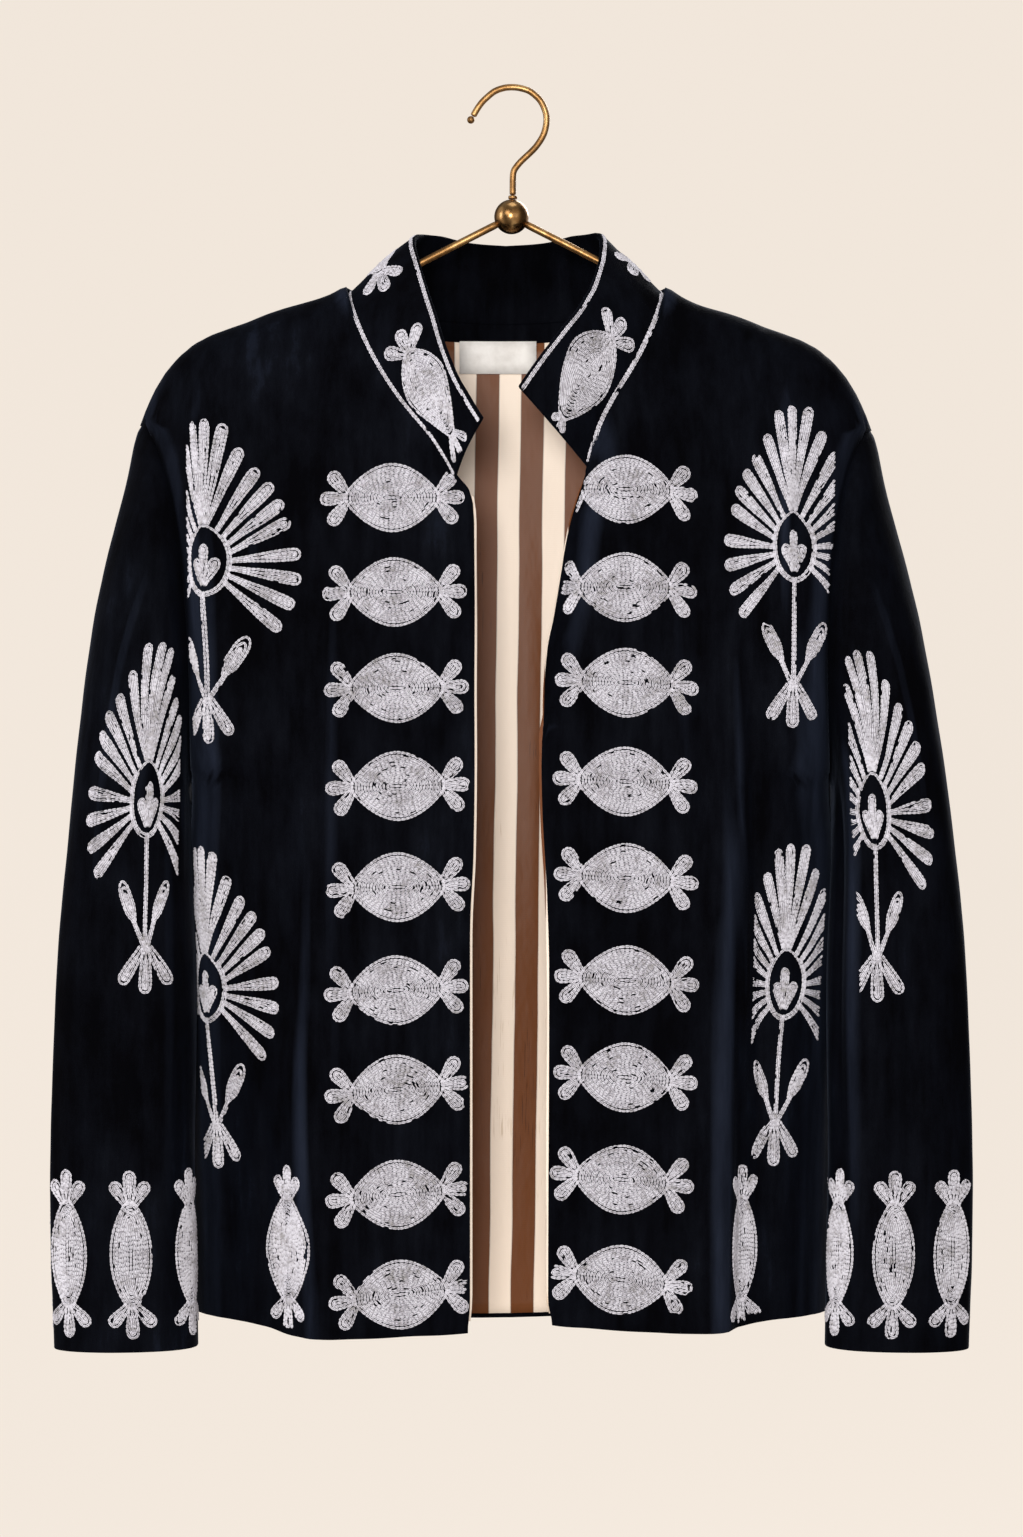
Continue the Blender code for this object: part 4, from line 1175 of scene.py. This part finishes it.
def striped_satin(name, front):
    """Viscose lining satin with warp stripes of cream and walnut brown: smooth floats of warp that shine
    softly, ribbed a little by the weft, on cloth that hangs slack."""
    made, tree, place = fresh(name)
    apart = add(tree, "SeparateXYZ", {"Vector": place})
    if front:
        across = add(tree, "Math", {0: apart["X"]}, operation="ABSOLUTE")[0]
        across = add(tree, "Math", {0: across, 1: -FRONT_STRIPE_AT * MM}, operation="ADD")[0]
    else:
        across = add(tree, "Math", {
            0: apart["Z"], 1: -BACK_STRIPE_SLOPE, 2: apart["X"]}, operation="MULTIPLY_ADD")[0]
        across = add(tree, "Math", {0: across, 1: BACK_STRIPE_AT * MM}, operation="ADD")[0]
    # The stripes wander 1 mm over 60 mm of the loose cloth.
    wander = add(tree, "TexNoise", {"Vector": place, "Scale": 1 / (60 * MM), "Detail": 1})[0]
    across = add(tree, "Math", {0: wander, 1: 2.0 * MM, 2: across}, operation="MULTIPLY_ADD")[0]
    repeat = add(tree, "Math", {0: across, 1: 1 / (STRIPE * MM)}, operation="MULTIPLY")[0]
    fold = add(tree, "Math", {0: repeat, 1: 0.5}, operation="PINGPONG")[0]
    edge = BROWN_SHARE / 2
    cream = add(tree, "MapRange", {"Value": fold, "From Min": edge - 0.006, "From Max": edge + 0.006})[0]
    beside = add(tree, "Math", {0: fold, 1: edge}, operation="SUBTRACT")[0]
    beside = add(tree, "Math", {0: beside}, operation="ABSOLUTE")[0]
    # A darker end of warp, 1.5 mm wide and soft at its sides, lies where two stripes meet.
    border = add(tree, "MapRange", {"Value": beside, "From Max": 0.026, "To Min": 0.45, "To Max": 0})[0]
    # Slubs 0.8 mm wide run down the warp, and the cloth is worn and dyed in clouds of 45 mm.
    stretch = add(tree, "Mapping", {"Vector": place, "Scale": (1, 1, 0.025)})[0]
    slubs = add(tree, "TexNoise", {
        "Vector": stretch, "Scale": 1 / (0.8 * MM), "Detail": 3, "Roughness": 0.6})[0]
    stretch = add(tree, "Mapping", {"Vector": place, "Scale": (1, 1, 0.4), "Location": (2, 8, 5)})[0]
    clouds = add(tree, "TexNoise", {
        "Vector": stretch, "Scale": 1 / (45 * MM), "Detail": 4, "Roughness": 0.6})[0]
    shade = add(tree, "Math", {0: clouds, 1: 1.5, 2: slubs}, operation="MULTIPLY_ADD")[0]
    brown = add(tree, "ValToRGB", {"Fac": shade}, [(0.95, "#522c13"), (1.5, "#683b1c")])["Color"]
    pale = add(tree, "ValToRGB", {"Fac": shade}, [(0.95, "#dac7b3"), (1.5, "#f2e3d4")])["Color"]
    tone = add(tree, "Mix", {0: cream, 6: brown, 7: pale}, data_type="RGBA")[2]
    tone = add(tree, "Mix", {0: border, 6: tone, 7: "#452716"}, data_type="RGBA")[2]
    # Weft ribs 0.4 mm apart, drawn three times as coarse.
    ribs = add(tree, "TexWave", {"Vector": place, "Scale": WAVE_REPEAT / (1.2 * MM), "Distortion": 0.6},
               bands_direction="Z")["Fac"]
    slack = add(tree, "Bump", {"Height": clouds, "Distance": 3.2 * MM, "Strength": 0.55})[0]
    weave = add(tree, "Bump", {"Height": ribs, "Distance": 0.05 * MM, "Strength": 0.3, "Normal": slack})[0]
    shader = add(tree, "BsdfPrincipled", {
        "Base Color": tone, "Roughness": 0.45, "Normal": weave, "Specular IOR Level": 0.2,
        "Sheen Weight": 0.03, "Sheen Roughness": 0.4, "Sheen Tint": "#ffe9cc"})
    add(tree, "OutputMaterial", {"Surface": shader["BSDF"]})
    return made


def woven_label():
    """Bleached polyester tape, damask woven: a flat white with a fine grain and no print."""
    made, tree, place = fresh("woven_label")
    soil = add(tree, "TexNoise", {"Vector": place, "Scale": 1 / (12 * MM), "Detail": 4, "Roughness": 0.6})[0]
    tone = add(tree, "ValToRGB", {"Fac": soil}, [(0.35, "#d3d0cd"), (0.62, "#e4e2e0")])["Color"]
    # Threads 0.3 mm apart each way, drawn three times as coarse.
    size = WAVE_REPEAT / (0.95 * MM)
    warp = add(tree, "TexWave", {
        "Vector": place, "Scale": size, "Distortion": 0.3}, bands_direction="X")["Fac"]
    weft = add(tree, "TexWave", {
        "Vector": place, "Scale": size, "Distortion": 0.3}, bands_direction="Z")["Fac"]
    weave = add(tree, "Math", {0: warp, 1: weft}, operation="MULTIPLY")[0]
    slack = add(tree, "Bump", {"Height": soil, "Distance": 0.5 * MM, "Strength": 0.4})[0]
    grain = add(tree, "Bump", {"Height": weave, "Distance": 0.06 * MM, "Strength": 0.5, "Normal": slack})[0]
    shader = add(tree, "BsdfPrincipled", {
        "Base Color": tone, "Roughness": 0.55, "Normal": grain, "Specular IOR Level": 0.3,
        "Sheen Weight": 0.06})
    add(tree, "OutputMaterial", {"Surface": shader["BSDF"]})
    return made


def aged_brass(name, roughness, spots):
    """Drawn brass wire and turned brass, satin polished by hand and left to darken: warm gold with a soft,
    long highlight, and brown where the patina was never rubbed off, in spots of the given millimetres."""
    made, tree, place = fresh(name)
    patina = add(tree, "TexNoise", {
        "Vector": place, "Scale": 1 / (spots * MM), "Detail": 5, "Roughness": 0.6})[0]
    wear = add(tree, "TexNoise", {"Vector": place, "Scale": 1 / (22 * MM), "Detail": 2})[0]
    both = add(tree, "Math", {0: wear, 1: 0.8, 2: patina}, operation="MULTIPLY_ADD")[0]
    tone = add(tree, "ValToRGB", {"Fac": both},
               [(0.66, "#735534"), (0.84, "#8b6840"), (1.0, "#a58458")])["Color"]
    shine = add(tree, "MapRange", {"Value": patina, "From Min": 0.3, "From Max": 0.7,
                                   "To Min": roughness + 0.03, "To Max": roughness - 0.03})[0]
    # Polishing marks 0.1 mm apart run along the wire, drawn five times as coarse.
    stretch = add(tree, "Mapping", {"Vector": place, "Scale": (1, 1, 0.07)})[0]
    marks = add(tree, "TexNoise", {"Vector": stretch, "Scale": 1 / (0.5 * MM), "Detail": 1})[0]
    worn = add(tree, "Bump", {"Height": marks, "Distance": 0.02 * MM, "Strength": 0.02})[0]
    shader = add(tree, "BsdfPrincipled", {
        "Base Color": tone, "Metallic": 1.0, "Roughness": shine, "Normal": worn})
    add(tree, "OutputMaterial", {"Surface": shader["BSDF"]})
    return made


# Brass hanger


def turned_rings(profile, around):
    """Rings about the upright axis from a (radius, height) profile."""
    turn = 2 * math.pi * np.arange(around) / around
    return [np.stack([np.cos(turn) * r, np.sin(turn) * r, np.full(around, z)], axis=1) for r, z in profile]


def closed_rings(name, rings, material, flip):
    """A solid through rings of points, with a face over each end; flip turns its faces over."""
    around = len(rings[0])
    last = (len(rings) - 1) * around
    ends = [list(range(around))[::-1], [last + k for k in range(around)]]
    faces = grid_faces(len(rings), around, True) + ends
    if flip:
        faces = [face[::-1] for face in faces]
    return smooth_mesh(name, np.concatenate(rings), faces, material)


def tube(name, line, radius, material, around=20):
    """A round rod along points, with domed ends."""
    line = np.asarray(line, float)
    way = np.gradient(line, axis=0)
    way /= np.linalg.norm(way, axis=1, keepdims=True)
    side = np.cross(way, (0, 1, 0))
    side /= np.linalg.norm(side, axis=1, keepdims=True)
    third = np.cross(side, way)
    turn = 2 * math.pi * np.arange(around) / around
    rings = []
    for out, along in ((0.45, -0.72), (0.78, -0.4), (0.95, -0.14)):
        rings.append((line[0] + way[0] * (along + 0.72) * radius * 0.5, side[0], third[0], radius * out))
    for k in range(1, len(line) - 1):
        rings.append((line[k], side[k], third[k], radius))
    for out, along in ((0.95, 0.14), (0.78, 0.4), (0.45, 0.72)):
        rings.append((line[-1] + way[-1] * (along - 0.72) * radius * 0.5, side[-1], third[-1], radius * out))
    verts = [c + (np.cos(turn)[:, None] * s + np.sin(turn)[:, None] * t) * r for c, s, t, r in rings]
    return closed_rings(name, verts, material, True)


def turned_profile(name, profile, place, material, around=48):
    """A turned piece from its (radius, height) profile."""
    rings = [ring + np.asarray(place, float) for ring in turned_rings(profile, around)]
    return closed_rings(name, rings, material, False)


def wire_line(across, height, count):
    """A smooth line in the hanger's plane through points given by x and height."""
    spot = np.arange(len(across), dtype=float)
    fine = np.linspace(0, spot[-1], count)
    x, z = (curve_through(spot, values)(fine) for values in (across, height))
    return np.stack([x, np.zeros_like(x), z], axis=1)


def fine_hook():
    return smoothed(wire_line(HOOK["x"], HOOK["z"], 120), 12)


def fine_arm(side):
    """A hanger arm's line, from the ball out and close under the shoulder seam."""
    sign = SIDES[side]
    start = BALL_ACROSS / 2 - 1.5
    slope = math.atan(ARM_DROP)
    points = [(sign * start * math.cos(slope), BALL_HEIGHT - start * math.sin(slope))]
    for across in ARM_STRAIGHT:
        points.append((sign * across, BALL_HEIGHT - ARM_DROP * across))
    clearance = VELVET_WALL / 2 + SEAM_GAP + ARM_WIRE / 2 + ARM_SPARE
    for across in ARM_UNDER_SHOULDER:
        fall = float(shoulder_height(across) - shoulder_height(across + 1))
        dip = ARM_DIP * math.exp(-(((across - NECK_ACROSS) / ARM_DIP_WIDTH) ** 2))
        height = float(shoulder_height(across)) - clearance * math.hypot(1, fall) - dip
        points.append((sign * across - float(sway(height)), height - float(droop(sign * across, height))))
    return wire_line(*np.array(points).T, 60)


def round_profile(radius, steps=24):
    turn = np.linspace(-math.pi / 2, math.pi / 2, steps)[1:-1]
    return [(radius * math.cos(a), radius * math.sin(a)) for a in turn]


def hanger(brass, ball_brass):
    ball = round_profile(BALL_ACROSS / 2, 40)
    made = {
        "hanger_hook": tube("hook", fine_hook(), HOOK_WIRE / 2, brass),
        "hanger_ball": turned_profile("ball", ball, (0, 0, BALL_HEIGHT), ball_brass),
    }
    tip = np.array(HOOK["x"][-1:] + HOOK["z"][-1:])
    reach = HOOK_BEAD / 2 + SEAM_GAP
    place = (tip[0] + BEAD_WAY[0] * reach, 0, tip[1] + BEAD_WAY[1] * reach)
    made["hanger_bead"] = turned_profile("bead", round_profile(HOOK_BEAD / 2), place, brass, 24)
    seat = BALL_HEIGHT + BALL_ACROSS / 2 + SEAM_GAP + FERRULE_TALL / 2
    r, h = FERRULE_ACROSS / 2, FERRULE_TALL / 2
    rim = [
        (r * 0.86, -h), (r * 0.97, -h * 0.75), (r, -h * 0.3),
        (r, h * 0.3), (r * 0.97, h * 0.75), (r * 0.86, h),
    ]
    made["hanger_ferrule"] = turned_profile("ferrule", rim, (HOOK["x"][0], 0, seat), brass, 32)
    for side in SIDES:
        made[f"hanger_arm_{side}"] = tube(f"arm_{side}", fine_arm(side), ARM_WIRE / 2, brass)
    for node, new in made.items():
        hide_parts(node)


# Jacket


def flat_area(grid, closed=False):
    """Area in square metres of the cloth's middle layer."""
    if closed:
        grid = np.concatenate([grid, grid[:, :1]], axis=1)
    a = np.diff(grid, axis=1)[:-1]
    b = np.diff(grid, axis=0)[:, :-1]
    return float(np.linalg.norm(np.cross(a, b), axis=-1).sum()) * MM * MM


def sewn(node, flat, area):
    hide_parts(node)
    print(node, "flat", flat, "area", round(area, 4))


def lining_layer(grid, inward, kept, top):
    moved = inner_layer(grid, inward, LINING_WALL, LINING_GAP)
    moved = moved[top:, kept]
    lift = ease(np.linspace(0, 1, len(moved)), 0.9, 1) * LINING_HEM_LIFT
    moved[..., 2] += lift[:, None]
    return moved


def jacket(velvet, back_satin, front_satin, label):
    fronts = {side: fine_front(side) for side in SIDES}
    back = fine_back()
    top = len(TOP_ROWS) + 1
    for side in SIDES:
        grid = fronts[side]
        made = cloth_piece(f"velvet_front_{side}", grid, VELVET_WALL, velvet, outwards=-SIDES[side])
        sewn(f"front_{side}", (0.25, 0.65), flat_area(grid))
        share = np.linalg.norm(grid[WIDTH_ROW] - grid[WIDTH_ROW, :1], axis=1)
        kept = int(np.searchsorted(share, share[-1] - LINING_SIDE))
        inner = lining_layer(grid, SIDES[side], slice(None, kept), top)
        out = np.linalg.norm(inner - inner[:, :1], axis=2)
        inner[..., 0] -= SIDES[side] * LINING_PEEP * np.exp(-out / 5)
        made = cloth_piece(f"satin_front_{side}", inner[::2], LINING_WALL, front_satin, edge=0)
        sewn(f"lining_front_{side}", (0.25, 0.63), flat_area(inner))
        rings = fine_sleeve(side)
        made = cloth_piece(f"velvet_sleeve_{side}", rings, VELVET_WALL, velvet, True, outwards=SIDES[side])
        sewn(f"sleeve_{side}", (0.33, 0.57), flat_area(rings, True))
    made = cloth_piece("velvet_back", back, VELVET_WALL, velvet, outwards=1)
    sewn("back", (0.50, 0.66), flat_area(back))
    inner = lining_layer(back, -1, slice(LINING_SIDE_COLUMNS, -LINING_SIDE_COLUMNS), top - 1)
    made = cloth_piece("satin_back", inner, LINING_WALL, back_satin, edge=0)
    sewn("lining_back", (0.49, 0.64), flat_area(inner))
    band = fine_collar(fronts, back)
    made = cloth_piece("velvet_collar", band, COLLAR_WALL, velvet, edge=1.2)
    sewn("collar", (0.47, 0.06), flat_area(band))
    patch = label_grid()
    made = cloth_piece("label_patch", patch, LABEL_WALL, label, edge=0)
    sewn("label", (0.049, 0.0205), flat_area(patch))
    return band


# Where the motifs sit, as the hanging jacket has them: x and height. A flower has its shape too.
POD_X = {
    "right": (-72.5, -71, -69.8, -69, -69, -70, -69.5, -69, -67.2),
    "left": (69.5, 68.9, 69.8, 68.9, 69.5, 69.8, 69.2, 67, 66.1),
}
POD_Z = {
    "right": (-255.7, -313.3, -371.6, -431, -492.3, -554.8, -614.9, -678.6, -739.1),
    "left": (-250.6, -310.3, -368.3, -428.3, -486.8, -548.7, -607.6, -669.5, -730.2),
}
FRONT_FLOWERS = {
    "right": {(-188.0, -293.0): (1.0, 0.45, 99, 10), (-187.5, -553.8): (0.84, 0.5, 99, 8.5)},
    "left": {(170.9, -284.5): (0.7, 0.82, 99, 28), (166.2, -551.0): (0.6, 0.8, 21.5, 28.5)},
}
SLEEVE_FLOWER = {
    "right": ((-219.5, -438.5), (0.47, 0.58, 22, 99, 1.05, 0.13, 1.05)),
    "left": ((218.6, -446), (0.5, 0.56, 13, 99, 1.03, 0.15, 1.1)),
}
CUFF_POD = {"right": (-230, -714.7), "left": (231, -714.7)}
CUFF_POD_STEP = {"right": 40.0, "left": 37.0}
HEM_POD_Z = -712.6
HEM_POD = {"right": (-135.6, HEM_POD_Z), "left": (138.7, HEM_POD_Z)}
HEM_POD_WIDE = {"right": 19.0, "left": 12.6}
BACK_HEM_POD_X = (-150, -50, 50, 150)
SEAM_ROW = 1.9
# The collar's pods: how far their middles are from its tip and below its own middle, their lean, and their
# shape.
COLLAR_PODS = {
    "right": ((43, 0.5, 3, 15, 5.4, 16.8), (167, 0, 0, 17, 8.6, 16.8)),
    "left": ((38, 1.0, -8, 9, 5.2, 19), (167, 0, 0, 17, 8.6, 16.8)),
}


def laid(cloth, lines, place, lean=0.0, mirror=1, shift=0.0):
    """A motif's lines on the cloth about the place given by its x and height."""
    s, z = cloth.place(*place)
    lines = turned(lines, lean)
    turn = np.array([mirror * cloth.way, 1])
    return chain_rows(cloth, [line * turn + (s + shift, z) for line in lines])


def embroidery(thread, band):
    sewing = {}
    for side in SIDES:
        mirror = -SIDES[side]
        cloth = front_map(side)
        pods = []
        for number, place in enumerate(zip(POD_X[side], POD_Z[side])):
            lean = 0.8 * number + chance.uniform(-1, 1)
            pods.append(laid(cloth, front_pod(), place, lean, mirror))
        for name, part in (("upper", pods[:5]), ("lower", pods[5:])):
            sewing[f"stitched_pods_{side}_{name}"] = part
        blooms = [laid(cloth, flower(*folded), place, 0, mirror)
                  for place, folded in FRONT_FLOWERS[side].items()]
        blooms.append(laid(cloth, long_pod(HEM_POD_WIDE[side]), HEM_POD[side], 90, 1))
        sewing[f"stitched_flowers_{side}"] = blooms
        arm = sleeve_map(side)
        place, folded = SLEEVE_FLOWER[side]
        cuff = [laid(arm, flower(*folded), place, 0, mirror)]
        for step in range(-1, 5):
            shift = -SIDES[side] * arm.way * step * CUFF_POD_STEP[side]
            cuff.append(laid(arm, long_pod(), CUFF_POD[side], 90, 1, shift))
        sewing[f"stitched_sleeve_{side}"] = cuff
    rear = back_map()
    sewing["stitched_back_hem"] = [laid(rear, long_pod(), (x, HEM_POD_Z), 90) for x in BACK_HEM_POD_X]
    collar = BandMap(band, -1)
    rows = []
    last = collar.along[-1]
    for side, pods in COLLAR_PODS.items():
        for at, down, lean, *shape in pods:
            way = 1 if side == "right" else -1
            place = at if way > 0 else last - at
            middle = float(np.interp(place, collar.along, collar.width)) / 2 - down
            pod = [line * (way, 1) for line in turned(collar_pod(*shape), lean)]
            rows.append(chain_rows(collar, [line + (place, middle) for line in pod], COLLAR_WALL / 2))
    run = np.linspace(1, last - 1, 200)
    top = np.stack([run, np.interp(run, collar.along, collar.width) - 2.4], axis=1)
    seam = np.stack([run, np.full_like(run, SEAM_ROW)], axis=1)
    tail = np.array([(last - 14, SEAM_ROW + 1), (last - 9, 3.2), (last - 2, 3.0)])
    second = seam[run > last - 120] + (-5, ROW)
    lines = [top, top - (0, 1.0), seam[run < last - 12], seam[run < last - 60] + (0, 1.0), second, tail]
    rows.append(chain_rows(collar, lines, COLLAR_WALL / 2))
    sewing["stitched_collar"] = rows
    for name, stitches in sewing.items():
        made = stitched(name, stitches, thread)


# Room, light and camera

ROOM_GLOW, ROOM_FILL = 0.93, 0.45


def room(floor_finish):
    """A round pale room: a floor that curves up into its wall."""
    profile = [
        (0.01, -1.45), (1.5, -1.45), (2.6, -1.45), (3.2, -1.40),
        (3.7, -1.2), (4.0, -0.75), (4.1, 0), (4.1, 4.2),
    ]
    rings = turned_rings(profile, 96)
    faces = [face[::-1] for face in grid_faces(len(rings), 96, True)]
    mesh = bpy.data.meshes.new("room")
    mesh.from_pydata(np.concatenate(rings).tolist(), [], faces)
    mesh.materials.append(floor_finish)
    mesh.shade_smooth()
    made = bpy.data.objects.new("room", mesh)
    bpy.context.scene.collection.objects.link(made)
    smooth = made.modifiers.new("round", "SUBSURF")
    smooth.levels = smooth.render_levels = 2


def pale_paint():
    """Matt cream emulsion, evenly lit. What shines sees it as a studio with dark gaps between lit walls."""
    made, tree, place = fresh("cream_emulsion")
    apart = add(tree, "SeparateXYZ", {"Vector": place})
    around = add(tree, "Math", {0: apart["X"], 1: apart["Y"]}, operation="ARCTAN2")[0]
    waves = add(tree, "Math", {0: around, 1: 3.0}, operation="MULTIPLY")[0]
    waves = add(tree, "Math", {0: waves}, operation="SINE")[0]
    lit = add(tree, "MapRange", {
        "Value": waves, "From Min": -0.3, "From Max": 0.5, "To Min": 0.04, "To Max": 0.8})[0]
    ray = add(tree, "LightPath")
    plain = add(tree, "Math", {0: ray["Is Camera Ray"], 1: ROOM_GLOW}, operation="MULTIPLY")[0]
    plain = add(tree, "Math", {0: ray["Is Diffuse Ray"], 1: ROOM_FILL, 2: plain}, operation="MULTIPLY_ADD")[0]
    glow = add(tree, "Math", {0: ray["Is Glossy Ray"], 1: lit, 2: plain}, operation="MULTIPLY_ADD")[0]
    shader = add(tree, "BsdfPrincipled", {
        "Base Color": "#5c5854", "Roughness": 0.95, "Specular IOR Level": 0.0,
        "Emission Color": "#efe5da", "Emission Strength": glow})
    add(tree, "OutputMaterial", {"Surface": shader["BSDF"]})
    made.cycles.emission_sampling = "NONE"
    return made


def lamp(name, place, aim, size, power, tint="#ffffff"):
    data = bpy.data.lights.new(name, "AREA")
    data.shape = "RECTANGLE"
    data.size, data.size_y = size
    data.energy = power
    data.color = linear(tint)[:3]
    made = bpy.data.objects.new(name, data)
    made.location = place
    made.rotation_euler = (Vector(aim) - Vector(place)).to_track_quat("-Z", "Y").to_euler()
    bpy.context.scene.collection.objects.link(made)


def studio():
    room(pale_paint())
    middle = (0, 0, -0.42)
    lamp("front", (-0.35, -3.5, 0.0), middle, (1.0, 1.0), 96, "#fffcf8")
    lamp("key", (-1.5, -2.7, 1.1), middle, (1.3, 1.3), 26, "#fffaf5")
    lamp("fill", (1.6, -2.7, 0.1), middle, (1.3, 1.3), 10, "#f2f5ff")
    lamp("side", (-2.7, -0.7, 0.2), middle, (0.8, 1.8), 22, "#f4f6ff")
    lamp("top", (0.2, -0.2, 2.4), middle, (1.4, 1.4), 14)
    lamp("rear", (1.2, 2.6, 1.2), middle, (1.6, 1.6), 60)
    world = bpy.data.worlds.new("studio")
    bpy.context.scene.world = world
    world.use_nodes = True
    world.node_tree.nodes["Background"].inputs["Color"].default_value = linear("#f4efe8")
    world.node_tree.nodes["Background"].inputs["Strength"].default_value = 0.35
    view = bpy.context.scene.view_settings
    view.view_transform = "Standard"
    view.look = "None"
    view.exposure, view.gamma = 0.0, 1.0


def camera():
    data = bpy.data.cameras.new("camera")
    data.lens = 85
    data.sensor_width = 36
    data.sensor_fit = "AUTO"
    made = bpy.data.objects.new("camera", data)
    made.location = (0, -2.25, -0.4204)
    made.rotation_euler = (math.pi / 2, 0, 0)
    bpy.context.scene.collection.objects.link(made)
    bpy.context.scene.camera = made


def main():
    camera()
    velvet, thread = cotton_velvet(), embroidery_cotton()
    back_satin, front_satin = striped_satin("lining_satin", False), striped_satin("front_lining_satin", True)
    hanger(aged_brass("aged_brass", 0.42, 6), aged_brass("turned_brass", 0.26, 8))
    band = jacket(velvet, back_satin, front_satin, woven_label())
    embroidery(thread, band)
    studio()


main()
